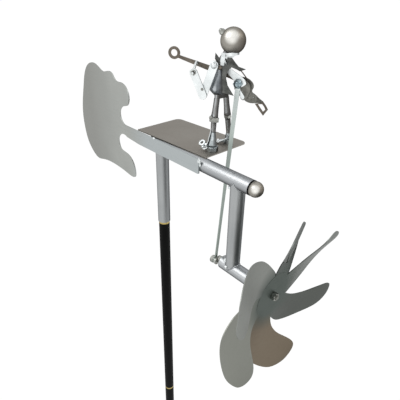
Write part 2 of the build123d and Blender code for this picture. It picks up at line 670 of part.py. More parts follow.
elbow_cap = cap_nut(right_elbow(elbow_nut_v), LEFTWARDS, ELBOW_FLATS, ELBOW_NUT, BOLT_R, ELBOW_CAP_DEPTH)
save_figure(elbow_cap, "elbow_nut")

# ---- legs and shoes ------------------------------------------------------------------------
# Places along each leg: u forwards, v left and, down to the ankle, z up.
LEGS = {
    "left": {
        "hip": (*HIP_LEFT, HIP_LOW),
        "knee": (-0.7, 12, 43.3),
        "ankle": (-1.5, 16, 22),
        "heel": (-3, 19),
        "toe": (13, 19),
    },
    "right": {
        "hip": (*HIP_RIGHT, HIP_LOW),
        "knee": (-14.2, -12, 43.1),
        "ankle": (-13.4, -17, 19),
        "heel": (-15, -19),
        "toe": (1.3, -19),
    },
}
THIGH_R = 4.0
SHIN_R = 3.2
KNEE_FLATS = 13.0
KNEE_NUT = 6.5
SHOE_R = 2.6
SHOE_Z = 4.5
TOE_FLATS = 7.6
TOE_NUT = 3.0
BOOT_TOP_R = 3.6
BOOT_FOOT_R = 5.4
BOOT_SOLE = 1.0  # where the boot's taper ends, above the plate
SHIN_IN_BOOT = 2.0
TOE_BACK = 4.5  # toe nut behind the shoe's tip
knee_nuts = []
toe_nuts = []
for side, leg in LEGS.items():
    hip, knee, ankle = (Vector(*leg[place]) for place in ("hip", "knee", "ankle"))
    down = (knee - hip).normalized()
    nut_top = knee - down * (KNEE_NUT / 2)
    shin_top = knee + down * (KNEE_NUT / 2)
    thigh = rod_between(hip - down * THIGH_R, shin_top, THIGH_R)
    thigh -= pin(hip, UP, 2 * THIGH_R, 2 * THIGH_R)
    save_figure(thigh, f"{side}_thigh")
    knee_nuts.append(hex_nut(nut_top, down, KNEE_FLATS, KNEE_NUT, THIGH_R))
    sole = Vector(leg["heel"][0], leg["heel"][1], 0)
    boot_bottom = Vector(sole.X, sole.Y, BOOT_SOLE)
    boot = rod_between(ankle, boot_bottom, BOOT_TOP_R, BOOT_FOOT_R)
    boot -= Box(2 * PLATE_LENGTH, 2 * PLATE_LENGTH, PLATE_LENGTH, align=TOP)
    heel = (leg["heel"][0], leg["heel"][1], SHOE_Z)
    toe = (leg["toe"][0], leg["toe"][1], SHOE_Z)
    shoe = rod_between(heel, toe, SHOE_R)
    save_figure(boot + shoe, f"{side}_boot")
    shin_axis = (ankle - shin_top).normalized()
    shin = rod_between(shin_top, ankle + shin_axis * SHIN_IN_BOOT, SHIN_R) - boot - thigh
    save_figure(shin, f"{side}_shin")
    toe_start = (leg["toe"][0] - TOE_BACK, leg["toe"][1], SHOE_Z)
    toe_nuts.append(hex_nut(toe_start, (1, 0, 0), TOE_FLATS, TOE_NUT, SHOE_R))

for name, pair in {"knee_nuts": knee_nuts, "toe_nuts": toe_nuts}.items():
    save_figure(Compound(children=[Part(nut.wrapped) for nut in pair]), name)

# ---- rod from the crank to the elbow: a strip with an eye at each end, twisted between --------
crank_frame = Vector(CRANK_BACK - CRANK_GAP - CRANK_HEAD, crank_y, crank_z)
eye_low = crank_frame - Vector(ROD_SHEET / 2, 0, 0)
elbow_world = FIGURE.from_local_coords(Vector(ELBOW_RIGHT[0], (rod_low + rod_high) / 2, ELBOW_RIGHT[1]))
side_dir = FIGURE.y_dir
reach_dir = (elbow_world - eye_low).normalized()


def eye_tab(centre, normal, towards, bore):
    """A flat eye whose tab points along the rod; returns the eye and the tab's far end."""
    along = (towards - normal * towards.dot(normal)).normalized()
    place = Plane(origin=centre - normal * (ROD_SHEET / 2), x_dir=along, z_dir=normal).location
    blank = extrude(Circle(ROD_EYE_R) + Pos(ROD_TAB / 2, 0) * Rectangle(ROD_TAB, ROD_WIDTH), ROD_SHEET)
    blank -= Cylinder(bore, ROD_SHEET, align=BASE)
    return place * blank, centre + along * ROD_TAB


low_tab, low_end = eye_tab(eye_low, Vector(*AXLE), reach_dir, CRANK_BOLT_R)
high_tab, high_end = eye_tab(elbow_world, side_dir, reach_dir * -1, BOLT_R + RUNNING)
strip_axis = (high_end - low_end).normalized()


def across(normal):
    """Direction of the strip's width beside an eye with this normal."""
    return strip_axis.cross(normal).normalized()


low_width, high_width = across(Vector(*AXLE)), across(side_dir)
twist = low_width.get_signed_angle(high_width, strip_axis)
slices = []
for step in range(ROD_STEPS + 1):
    share = step / ROD_STEPS
    width_dir = low_width.rotate(Axis((0, 0, 0), strip_axis), twist * share)
    station = Plane(origin=low_end + (high_end - low_end) * share, x_dir=width_dir, z_dir=strip_axis)
    slices.append(station.location * Rectangle(ROD_WIDTH, ROD_SHEET))
strip = loft(slices)
knuckle = ROD_SHEET * KNUCKLE_SHARE
half_width = ROD_WIDTH / 2
low_knuckle = rod_between(low_end - low_width * half_width, low_end + low_width * half_width, knuckle)
high_knuckle = rod_between(high_end - high_width * half_width, high_end + high_width * half_width, knuckle)
save(strip + low_tab + high_tab + low_knuckle + high_knuckle, "connecting_rod")

crank_head_x = CRANK_BACK - CRANK_GAP - CRANK_HEAD
crank_nut_x = crank_head_x - ROD_SHEET - NUT_HEIGHT
bolt_reach = ROD_SHEET + NUT_HEIGHT + BOLT_PROUD
crank_bolt = pin((crank_head_x, crank_y, crank_z), AXLE, CRANK_HEAD_R, CRANK_HEAD)
crank_bolt += pin((crank_head_x - bolt_reach, crank_y, crank_z), AXLE, CRANK_BOLT_R, bolt_reach)
save(crank_bolt, "crank_bolt")
save(hex_nut((crank_nut_x, crank_y, crank_z), AXLE, NUT_FLATS, NUT_HEIGHT, CRANK_BOLT_R), "crank_nut")
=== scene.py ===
"""Garden windmill: finishes, the figure's forms, weld seams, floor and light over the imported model."""

import json
import math

import bmesh
import bpy
from mathutils import Matrix, Vector, noise


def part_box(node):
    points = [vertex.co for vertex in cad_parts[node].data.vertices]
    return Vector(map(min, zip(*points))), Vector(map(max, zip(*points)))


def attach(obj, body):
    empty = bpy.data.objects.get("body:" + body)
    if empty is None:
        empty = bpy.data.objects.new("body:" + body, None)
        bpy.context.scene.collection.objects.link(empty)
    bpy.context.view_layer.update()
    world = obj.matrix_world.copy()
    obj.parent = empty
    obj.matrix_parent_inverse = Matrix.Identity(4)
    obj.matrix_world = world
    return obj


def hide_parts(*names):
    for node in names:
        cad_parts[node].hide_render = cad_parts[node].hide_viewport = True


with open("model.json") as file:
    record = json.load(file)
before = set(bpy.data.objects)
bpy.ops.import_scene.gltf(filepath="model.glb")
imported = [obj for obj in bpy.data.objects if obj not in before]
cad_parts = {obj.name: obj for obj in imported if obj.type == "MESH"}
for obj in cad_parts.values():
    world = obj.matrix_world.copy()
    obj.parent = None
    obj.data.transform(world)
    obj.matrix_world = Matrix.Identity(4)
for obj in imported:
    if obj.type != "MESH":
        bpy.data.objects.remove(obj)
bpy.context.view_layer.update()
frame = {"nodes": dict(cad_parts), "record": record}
MM = 0.001

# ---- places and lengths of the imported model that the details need, in metres ----------------
boom_low, boom_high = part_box("boom_tube")
hub_low, hub_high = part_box("hub_tube")
strut_low, strut_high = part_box("strut_tube")
nut_low, nut_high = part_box("crank_nut")
TUBE_R = (boom_high[2] - boom_low[2]) / 2
BOOM_Z = (boom_high[2] + boom_low[2]) / 2
BOOM_FRONT = boom_high[0]
BAR_SIDE = boom_low[1]  # the boom's near side, where the tail's bar is welded on
HUB_Z = (hub_high[2] + hub_low[2]) / 2
STRUT_X = (strut_low[0] + strut_high[0]) / 2
PLATE_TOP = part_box("platform")[1][2]
FIGURE_AT = Vector((0.0725, 0.039, PLATE_TOP))
FACING = math.radians(215)  # heading of the figure's front
FORWARD = Vector((math.cos(FACING), math.sin(FACING), 0))
LEFTWARD = Vector((-math.sin(FACING), math.cos(FACING), 0))
UP = Vector((0, 0, 1))


def on_figure(u, v, z):
    """A place in the figure's own frame, in millimetres: forwards, to its left and up from the platform."""
    return FIGURE_AT + FORWARD * (u * MM) + LEFTWARD * (v * MM) + Vector((0, 0, z * MM))


# ============================================================================================
# Node helpers
# ============================================================================================
def shader_group(name, inputs, outputs):
    """An empty shader node group with named sockets."""
    group = bpy.data.node_groups.new(name, "ShaderNodeTree")
    for label, kind, value in inputs:
        socket = group.interface.new_socket(name=label, in_out="INPUT", socket_type=kind)
        socket.default_value = value
    for label, kind in outputs:
        group.interface.new_socket(name=label, in_out="OUTPUT", socket_type=kind)
    return group, group.nodes.new("NodeGroupInput"), group.nodes.new("NodeGroupOutput")


def add(tree, kind, **values):
    """A node with its settings; a key such as in_2 sets the value of the input with that number."""
    node = tree.nodes.new(kind)
    for key, value in values.items():
        if key.startswith("in_"):
            node.inputs[int(key[3:])].default_value = value
        else:
            setattr(node, key, value)
    return node


def group_node(tree, group, values):
    """A shared group with values for its named inputs."""
    node = add(tree, "ShaderNodeGroup", node_tree=group)
    for label, value in values.items():
        node.inputs[label].default_value = value
    return node


def feed(tree, value, socket):
    """Links a socket to another, or gives it a number or a colour."""
    if isinstance(value, bpy.types.NodeSocket):
        tree.links.new(value, socket)
    else:
        socket.default_value = (*value, 1) if isinstance(value, tuple) else value


def maths(tree, operation, first, second=None, third=None, clamp=False):
    """A Math node fed by sockets or numbers."""
    node = add(tree, "ShaderNodeMath", operation=operation, use_clamp=clamp)
    for index, value in enumerate((first, second, third)):
        if value is not None:
            feed(tree, value, node.inputs[index])
    return node.outputs[0]


def spread(tree, value, low, high, to_low=0.0, to_high=1.0):
    """Maps a value from one range to another, clamped."""
    node = add(tree, "ShaderNodeMapRange", in_1=low, in_2=high, in_3=to_low, in_4=to_high)
    tree.links.new(value, node.inputs[0])
    return node.outputs[0]


def mottle(tree, place, scale, detail, rough=0.5):
    """Noise over a place, with its scale from a socket or a number."""
    node = add(tree, "ShaderNodeTexNoise")
    node.inputs["Detail"].default_value = detail
    node.inputs["Roughness"].default_value = rough
    feed(tree, scale, node.inputs["Scale"])
    tree.links.new(place, node.inputs["Vector"])
    return node.outputs["Fac"]


def tint(tree, colour, other, factor):
    """Mixes two colours, given as sockets or values, by a socket or a number."""
    mix = add(tree, "ShaderNodeMix", data_type="RGBA")
    for label, value in (("A", colour), ("B", other), ("Factor", factor)):
        feed(tree, value, mix.inputs[label])
    return mix.outputs["Result"]


# ============================================================================================
# Shared effects: ground grain, dull clouds, painted light and shade on one side, and the propeller's painted
# reflection tones
# ============================================================================================
SCRATCH_SPACING = 0.37  # scratches for each grain line
SCRATCH_CUT = 0.6  # depth of a scratch, against the grain's own relief
GRAIN_RELIEF = 0.0002  # height of the grain at full depth, in metres
SCRATCH_RANGE = (0.62, 0.72)  # noise from which a scratch starts and is full
CLOUD_RANGE = (0.32, 0.68)  # and the same for a cloud
STAIN_RANGE = (0.58, 0.72)  # and for a stain
STAIN_SCALE = 420.0  # stains per metre


def make_grain_group():
    """Fine lines along one direction, with a few deeper scratches, and the normal they give."""
    group, given, out = shader_group(
        "ground_grain",
        [
            ("Stretch", "NodeSocketVector", (1, 1, 1)),
            ("Lines per metre", "NodeSocketFloat", 900.0),
            ("Depth", "NodeSocketFloat", 0.1),
        ],
        [("Lines", "NodeSocketFloat"), ("Scratches", "NodeSocketFloat"), ("Normal", "NodeSocketVector")],
    )
    scaled = add(group, "ShaderNodeVectorMath", operation="MULTIPLY")
    group.links.new(add(group, "ShaderNodeTexCoord").outputs["Object"], scaled.inputs[0])
    group.links.new(given.outputs["Stretch"], scaled.inputs[1])
    density = given.outputs["Lines per metre"]
    lines = mottle(group, scaled.outputs[0], density, 4.0)
    coarse = mottle(group, scaled.outputs[0], maths(group, "MULTIPLY", density, SCRATCH_SPACING), 2.0)
    scratch = spread(group, coarse, *SCRATCH_RANGE)
    bump = add(group, "ShaderNodeBump")
    bump.inputs["Distance"].default_value = GRAIN_RELIEF
    group.links.new(given.outputs["Depth"], bump.inputs["Strength"])
    height = maths(group, "SUBTRACT", lines, maths(group, "MULTIPLY", scratch, SCRATCH_CUT))
    group.links.new(height, bump.inputs["Height"])
    group.links.new(lines, out.inputs["Lines"])
    group.links.new(scratch, out.inputs["Scratches"])
    group.links.new(bump.outputs["Normal"], out.inputs["Normal"])
    return group


def make_cloud_group():
    """Broad dull clouds and small stains, from nothing to full."""
    group, given, out = shader_group(
        "dull_clouds",
        [("Size", "NodeSocketFloat", 18.0), ("Stains", "NodeSocketFloat", 0.3)],
        [("Clouds", "NodeSocketFloat"), ("Specks", "NodeSocketFloat")],
    )
    place = add(group, "ShaderNodeTexCoord").outputs["Object"]
    clouds = spread(group, mottle(group, place, given.outputs["Size"], 3.0), *CLOUD_RANGE)
    fine = mottle(group, place, STAIN_SCALE, 5.0, rough=0.55)
    specks = maths(group, "MULTIPLY", spread(group, fine, *STAIN_RANGE), given.outputs["Stains"])
    group.links.new(clouds, out.inputs["Clouds"])
    group.links.new(specks, out.inputs["Specks"])
    return group


def make_side_group():
    """How far a surface faces one direction of its own body, from nothing to full."""
    group, given, out = shader_group(
        "facing_side",
        [
            ("Direction", "NodeSocketVector", (0, 0, 1)),
            ("From", "NodeSocketFloat", 0.0),
            ("To", "NodeSocketFloat", 1.0),
        ],
        [("Share", "NodeSocketFloat")],
    )
    dot = add(group, "ShaderNodeVectorMath", operation="DOT_PRODUCT")
    group.links.new(add(group, "ShaderNodeTexCoord").outputs["Normal"], dot.inputs[0])
    group.links.new(given.outputs["Direction"], dot.inputs[1])
    ramp = add(group, "ShaderNodeMapRange", interpolation_type="SMOOTHSTEP")
    group.links.new(dot.outputs["Value"], ramp.inputs[0])
    group.links.new(given.outputs["From"], ramp.inputs[1])
    group.links.new(given.outputs["To"], ramp.inputs[2])
    group.links.new(ramp.outputs[0], out.inputs["Share"])
    return group


# Painted reflection tone of each blade in turn round the shaft, and the tone of the propeller's middle.
BLADE_REFLECTION_TONES = [
    (0.14, 0.153, 0.143),
    (0.3, 0.31, 0.29),
    (0.265, 0.27, 0.24),
    (0.19, 0.148, 0.103),
    (0.105, 0.113, 0.103),
    (0.25, 0.268, 0.25),
]
DISC_TONE = (0.092, 0.112, 0.100)
DISC_FADE = (0.03, 0.055)  # radii between which the middle's tone gives way to the blades'
FIRST_BLADE = 30.9  # where the first blade's leading edge leaves the middle, in degrees
SWEEP_FROM = 0.04  # radius from which the leading edges sweep back
SWEEP = 550  # how far they run round, in degrees per metre of radius beyond that
BLADE_REFLECTION_SHARE = 0.82  # share of the blades' painted reflection tones over the sheet's clouds and grain


def make_blade_reflection_group():
    """Colour of the propeller's sheet: a painted reflection tone for each swept blade and a darker, greener
    middle.
    """
    group, given, out = shader_group(
        "blade_painted_reflections", [("Shaft height", "NodeSocketFloat", HUB_Z)], [("Colour", "NodeSocketColor")]
    )
    split = add(group, "ShaderNodeSeparateXYZ")
    group.links.new(add(group, "ShaderNodeTexCoord").outputs["Object"], split.inputs[0])
    side = split.outputs["Y"]
    rise = maths(group, "SUBTRACT", split.outputs["Z"], given.outputs["Shaft height"])
    square = maths(group, "ADD", maths(group, "MULTIPLY", side, side), maths(group, "MULTIPLY", rise, rise))
    radius = maths(group, "SQRT", square)
    beyond = maths(group, "MAXIMUM", maths(group, "SUBTRACT", radius, SWEEP_FROM), 0.0)
    angle = maths(group, "DIVIDE", maths(group, "ARCTAN2", rise, side), 2 * math.pi)
    angle = maths(group, "SUBTRACT", angle, maths(group, "MULTIPLY", beyond, SWEEP / 360))
    turn = maths(group, "FRACT", maths(group, "ADD", angle, 3 - FIRST_BLADE / 360))
    ramp = add(group, "ShaderNodeValToRGB")
    ramp.color_ramp.interpolation = "CONSTANT"
    stops = ramp.color_ramp.elements
    stops.remove(stops[1])
    for index, colour in enumerate(BLADE_REFLECTION_TONES):
        stop = stops[0] if index == 0 else stops.new(index / len(BLADE_REFLECTION_TONES))
        stop.color = (*colour, 1)
    group.links.new(turn, ramp.inputs[0])
    colour = tint(group, DISC_TONE, ramp.outputs[0], spread(group, radius, *DISC_FADE))
    group.links.new(colour, out.inputs["Colour"])
    return group


GRAIN = make_grain_group()
CLOUDS = make_cloud_group()
SIDE = make_side_group()
BLADE_REFLECTIONS = make_blade_reflection_group()

# ============================================================================================
# Finishes
# ============================================================================================
CLOUD_SHARE, LINE_SHARE = 0.6, 0.4  # what clouds and grain give to the mix of light and dark
SCRATCH_ROUGH = 0.08  # what a scratch adds to the roughness


def metal(name, light, dark, rough, rough_spread, stretch=(1, 1, 1), lines=900, depth=0.08, cloud=18,
          stains=0.3, edge=0.6, metallic=1.0):
    """A worked surface: light and dark tones in clouds and grain, and gloss that varies with them."""
    material = bpy.data.materials.new(name)
    material.use_nodes = True
    tree = material.node_tree
    shader = tree.nodes["Principled BSDF"]
    shader.inputs["Metallic"].default_value = metallic
    shader.inputs["Specular Tint"].default_value = (edge, edge, edge, 1)
    grain = group_node(tree, GRAIN, {"Stretch": stretch, "Lines per metre": lines, "Depth": depth})
    clouds = group_node(tree, CLOUDS, {"Size": cloud, "Stains": stains})
    share = maths(tree, "MULTIPLY", clouds.outputs["Clouds"], CLOUD_SHARE)
    share = maths(tree, "MULTIPLY_ADD", grain.outputs["Lines"], LINE_SHARE, share)
    share = maths(tree, "ADD", share, clouds.outputs["Specks"], clamp=True)
    tree.links.new(tint(tree, light, dark, share), shader.inputs["Base Color"])
    gloss = spread(tree, share, 0.0, 1.0, rough, rough + rough_spread)
    gloss = maths(tree, "MULTIPLY_ADD", grain.outputs["Scratches"], SCRATCH_ROUGH, gloss)
    tree.links.new(gloss, shader.inputs["Roughness"])
    tree.links.new(grain.outputs["Normal"], shader.inputs["Normal"])
    return material


AROUND_X = (1.0, 0.04, 0.04)  # grain that runs round a tube along X
AROUND_Z = (0.04, 0.04, 1.0)
ALONG_X = (0.05, 1, 1)  # grain that runs along X on a sheet
LOOKS = {
    "pole_black": dict(light=(0.003, 0.003, 0.003), dark=(0.006, 0.006, 0.006), rough=0.5, rough_spread=0.15,
                       stretch=AROUND_Z, lines=700, depth=0.05, cloud=30, stains=0.4, metallic=0.0),
    "ring_brass": dict(light=(0.62, 0.5, 0.2), dark=(0.4, 0.3, 0.1), rough=0.25, rough_spread=0.15,
                       stretch=AROUND_Z, lines=1500),
    "spike_steel": dict(light=(0.45, 0.45, 0.44), dark=(0.3, 0.3, 0.3), rough=0.35, rough_spread=0.2,
                        stretch=AROUND_Z),
    "bush_plastic": dict(light=(0.85, 0.85, 0.82), dark=(0.7, 0.7, 0.67), rough=0.4, rough_spread=0.1,
                         metallic=0.0),
    "tube_steel": dict(light=(0.5, 0.52, 0.53), dark=(0.38, 0.395, 0.41), rough=0.33, rough_spread=0.12,
                       stretch=AROUND_X, lines=1100, depth=0.05, cloud=14, stains=0.15, edge=0.25),
    "strut_steel": dict(light=(0.46, 0.475, 0.475), dark=(0.35, 0.365, 0.37), rough=0.34, rough_spread=0.12,
                        stretch=AROUND_Z, lines=1100, depth=0.05, cloud=14, stains=0.15, edge=0.25),
    "ball_steel": dict(light=(0.40, 0.385, 0.35), dark=(0.31, 0.295, 0.26), rough=0.4, rough_spread=0.12,
                       lines=500, depth=0.03, cloud=22, stains=0.1, edge=0.2),
    "vane_steel": dict(light=(0.47, 0.485, 0.46), dark=(0.40, 0.41, 0.39), rough=0.42, rough_spread=0.14,
                       stretch=ALONG_X, lines=1000, depth=0.05, cloud=9, stains=0.2),
    "plate_steel": dict(light=(0.37, 0.35, 0.315), dark=(0.30, 0.28, 0.25), rough=0.42, rough_spread=0.14,
                        stretch=ALONG_X, depth=0.06, cloud=16),
    "blade_steel": dict(light=(0.24, 0.255, 0.24), dark=(0.14, 0.15, 0.14), rough=0.36, rough_spread=0.14,
                        stretch=(1, 0.08, 1), lines=800, depth=0.05, cloud=11),
    "limb_steel": dict(light=(0.36, 0.36, 0.35), dark=(0.11, 0.105, 0.1), rough=0.3, rough_spread=0.2,
                       stretch=(1, 1, 0.06), lines=420, depth=0.2, cloud=90, stains=0.35, edge=0.3),
    "trunk_steel": dict(light=(0.3, 0.33, 0.35), dark=(0.055, 0.06, 0.065), rough=0.28, rough_spread=0.2,
                        stretch=(1, 1, 0.05), lines=330, depth=0.2, cloud=110),
    "boot_steel": dict(light=(0.72, 0.78, 0.79), dark=(0.2, 0.23, 0.235), rough=0.24, rough_spread=0.2,
                       stretch=(1, 1, 0.2), lines=300, depth=0.2, cloud=150),
    "coat_steel": dict(light=(0.16, 0.165, 0.155), dark=(0.035, 0.037, 0.035), rough=0.32, rough_spread=0.2,
                       stretch=(1, 1, 0.25), lines=300, depth=0.2, cloud=90),
    "strip_steel": dict(light=(0.86, 0.89, 0.89), dark=(0.66, 0.70, 0.70), rough=0.3, rough_spread=0.15,
                        stretch=(0.2, 0.2, 1), lines=500, depth=0.06, cloud=50, stains=0.2),
    "rod_steel": dict(light=(0.72, 0.77, 0.75), dark=(0.5, 0.55, 0.54), rough=0.3, rough_spread=0.15,
                      stretch=(0.2, 0.2, 1), lines=500, depth=0.06, cloud=50, stains=0.2),
    "instrument_steel": dict(light=(0.2, 0.175, 0.145), dark=(0.12, 0.105, 0.088), rough=0.36,
                             rough_spread=0.2, stretch=(0.1, 1, 1), lines=800, depth=0.1, cloud=60,
                             stains=0.4),
    "body_steel": dict(light=(0.25, 0.25, 0.225), dark=(0.07, 0.068, 0.06), rough=0.34, rough_spread=0.2,
                       stretch=(1, 1, 0.3), lines=400, depth=0.15, cloud=90, stains=0.4),
    "fastener_zinc": dict(light=(0.56, 0.575, 0.54), dark=(0.15, 0.15, 0.135), rough=0.24, rough_spread=0.15,
                          depth=0.1, cloud=110, stains=0.35, edge=0.3),
    "cap_zinc": dict(light=(0.5, 0.6, 0.64), dark=(0.1, 0.15, 0.17), rough=0.2, rough_spread=0.15, lines=300,
                     depth=0.05, cloud=260),
}
FINISH = {name: metal(name, **look) for name, look in LOOKS.items()}
POLE_SHINE = 0.08  # how strongly the pole's paint mirrors
pole_shader = FINISH["pole_black"].node_tree.nodes["Principled BSDF"]
pole_shader.inputs["Specular IOR Level"].default_value = POLE_SHINE


def recolour(finish, colour, share):
    """Lays a colour over what a finish already has, both given as sockets or values."""
    tree = FINISH[finish].node_tree
    socket = tree.nodes["Principled BSDF"].inputs["Base Color"]
    tree.links.new(tint(tree, socket.links[0].from_socket, colour, share), socket)


def paint_light_by_side(finish, facing, start, full, colour, amount):
    """Paints light and shade into a finish where it faces one direction: from nothing at a start to the whole
    amount, as cosines.
    """
    tree = FINISH[finish].node_tree
    side = group_node(tree, SIDE, {"Direction": facing, "From": start, "To": full})
    recolour(finish, colour, maths(tree, "MULTIPLY", side.outputs["Share"], amount))


def shade_along(finish, axis, start, full, colour):
    """Paints light and shade into a finish from one place to another along an axis, in metres."""
    tree = FINISH[finish].node_tree
    split = add(tree, "ShaderNodeSeparateXYZ")
    tree.links.new(add(tree, "ShaderNodeTexCoord").outputs["Object"], split.inputs[0])
    recolour(finish, colour, spread(tree, split.outputs[axis], start, full))


# Painted reflections on the propeller: one tone for each blade.
blade_reflection_node = group_node(FINISH["blade_steel"].node_tree, BLADE_REFLECTIONS, {})
recolour("blade_steel", blade_reflection_node.outputs["Colour"], BLADE_REFLECTION_SHARE)
# Painted light and shade on the vane: lighter and bluer towards the boom, darker grey towards its far end.
shade_along("vane_steel", "X", -0.075, -0.02, (0.48, 0.515, 0.52))
shade_along("vane_steel", "X", -0.12, -0.19, (0.36, 0.365, 0.345))

# A tube carries a painted highlight along one line, and painted shade on the boom's underside and the strut's
# far side.
# After its finish, each row holds a direction, the cosines where the tint starts and is full, and the
# tint's colour and amount.
TUBE_PAINTED_LIGHT = [
    ("tube_steel", (0.1, -0.8, 0.6), 0.9, 1.0, (0.66, 0.68, 0.69), 0.75),
    ("tube_steel", (0, 0.6, 0.8), 0.75, 1.0, (0.3, 0.31, 0.32), 0.85),
    ("tube_steel", (0, -0.35, -0.94), 0.15, 0.95, (0.19, 0.195, 0.2), 0.95),
    ("strut_steel", (-0.45, -0.89, 0), 0.7, 1.0, (0.45, 0.465, 0.47), 0.85),
    ("strut_steel", (0.97, 0.26, 0), 0.3, 0.95, (0.26, 0.27, 0.275), 0.9),
    ("strut_steel", (0.67, 0.74, 0), 0.72, 1.0, (0.17, 0.175, 0.18), 0.95),
]
# The head has a broad painted highlight in front, painted brown shade to its right and a painted dark rim
# below.
HEAD_PAINTED_LIGHT = [
    ("ball_steel", (0.9, 0.3, 0.3), 0.5, 0.98, (0.22, 0.19, 0.15), 0.7),
    ("ball_steel", (0.52, -0.74, 0.42), 0.76, 1.0, (1.0, 0.99, 0.94), 0.8),
    ("ball_steel", (0.75, 0.4, -0.52), 0.25, 0.95, (0.1, 0.09, 0.08), 0.85),
    ("ball_steel", (0.05, 0.1, -1), 0.3, 0.95, (0.12, 0.11, 0.1), 0.85),
]
# Round limbs carry painted shade towards the right, a painted highlight streak in front and a painted dark
# streak to the left.
LIMB_PAINTED_LIGHT = [
    ((0.93, 0.37, 0), 0.35, 0.95, (0.05, 0.047, 0.045), 0.85),
    ((0.39, -0.92, 0), 0.93, 1.0, (0.66, 0.7, 0.72), 0.7),
    ((-0.55, -0.83, 0), 0.82, 1.0, (0.09, 0.09, 0.09), 0.6),
]
for shade in [*TUBE_PAINTED_LIGHT, *HEAD_PAINTED_LIGHT]:
    paint_light_by_side(*shade)
for limb_finish in ("limb_steel", "trunk_steel", "boot_steel"):
    for shade in LIMB_PAINTED_LIGHT:
        paint_light_by_side(limb_finish, *shade)
# The pale strips' cut edges carry painted shade on one side, and the rod is painted darker, as shade, from
# the elbow down to the platform.
for strip_finish in ("strip_steel", "rod_steel"):
    paint_light_by_side(strip_finish, (0.67, 0.74, 0), 0.6, 0.9, (0.13, 0.15, 0.15), 0.85)
shade_along("rod_steel", "Z", 1.495, 1.425, (0.36, 0.41, 0.38))

NODE_FINISH = {part["node"]: part["material_slot"] for part in frame["record"]["subparts"]}
NODE_FINISH |= {"strut_tube": "strut_steel", "yaw_sleeve": "strut_steel", "instrument_body": "body_steel"}
for node, obj in frame["nodes"].items():
    finish = FINISH[NODE_FINISH[node]]
    if not obj.material_slots:
        obj.data.materials.append(finish)
    for slot in obj.material_slots:
        slot.material = finish


# ============================================================================================
# Making pieces: their sizes are in millimetres, and places on the imported model are in metres
# ============================================================================================
SHARP = 38  # degrees between two faces from which their edge is shown sharp
SPAN_STEPS = 6  # steps of a smooth run from one given place to the next


def piece_from(name, form, finish, body, nodes=(), sharp=None):
    """A mesh piece that rides on a body of the model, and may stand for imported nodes."""
    verts, faces = form
    mesh = bpy.data.meshes.new(name)
    mesh.from_pydata([tuple(v) for v in verts], [], faces)
    mesh.validate()
    build = bmesh.new()
    build.from_mesh(mesh)
    bmesh.ops.recalc_face_normals(build, faces=build.faces)
    build.to_mesh(mesh)
    build.free()
    for face in mesh.polygons:
        face.use_smooth = True
    obj = bpy.data.objects.new(name, mesh)
    bpy.context.scene.collection.objects.link(obj)
    mesh.materials.append(FINISH[finish])
    if sharp is not None:
        mesh.set_sharp_from_angle(angle=math.radians(sharp))
    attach(obj, body)
    if nodes:
        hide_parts(*nodes)


def quads(rings, sides):
    """Faces between neighbouring rings of corners."""
    faces = []
    for i in range(rings - 1):
        for k in range(sides):
            n = (k + 1) % sides
            faces.append((i * sides + k, i * sides + n, (i + 1) * sides + n, (i + 1) * sides + k))
    return faces


def caps(rings, sides):
    """Flat faces over the first and the last ring of corners."""
    last = (rings - 1) * sides
    return [tuple(range(sides)), tuple(range(last, last + sides))]


def spokes(along, sides, turn=0.0):
    """Angles and unit directions round a line."""
    side = Matrix.Rotation(turn, 3, along) @ along.orthogonal().normalized()
    up = along.cross(side)
    angles = [2 * math.pi * k / sides for k in range(sides)]
    return [(angle, side * math.cos(angle) + up * math.sin(angle)) for angle in angles]


def between(a, b, c, d, t):
    """A value on the smooth line from b to c, with a and d as their neighbours."""
    return 0.5 * (2 * b + (c - a) * t + (2 * a - 5 * b + 4 * c - d) * t * t + (3 * b - a - 3 * c + d) * t**3)


def closed_line(points, steps=5):
    """A smooth closed line through the points of an outline."""
    line = []
    for i in range(len(points)):
        four = [points[(i + k) % len(points)] for k in (-1, 0, 1, 2)]
        line += [tuple(between(*axis, step / steps) for axis in zip(*four)) for step in range(steps)]
    return line


def curved(places):
    """A smooth open run through places on the figure."""
    run = [on_figure(*place) for place in places]
    ends = [run[0], *run, run[-1]]
    smooth = []
    for four in zip(ends, ends[1:], ends[2:], ends[3:]):
        smooth += [between(*four, step / SPAN_STEPS) for step in range(SPAN_STEPS)]
    return [*smooth, run[-1]]


def arc(centre, radius, start, end, steps=14):
    """Points on an arc of a flat part, angles in degrees."""
    turns = [math.radians(start + (end - start) * k / steps) for k in range(steps + 1)]
    return [(centre[0] + radius * math.cos(t), centre[1] + radius * math.sin(t)) for t in turns]


def bar_line(start, end, width):
    """Outline of a flat bar with round ends."""
    heading = math.degrees(math.atan2(end[1] - start[1], end[0] - start[0]))
    far_end = arc(end, width / 2, heading - 90, heading + 90)
    return far_end + arc(start, width / 2, heading + 90, heading + 270)


HOLE_SIDES = 48
ROUND_EDGE = 0.3  # radius of a cut sheet's softened edge


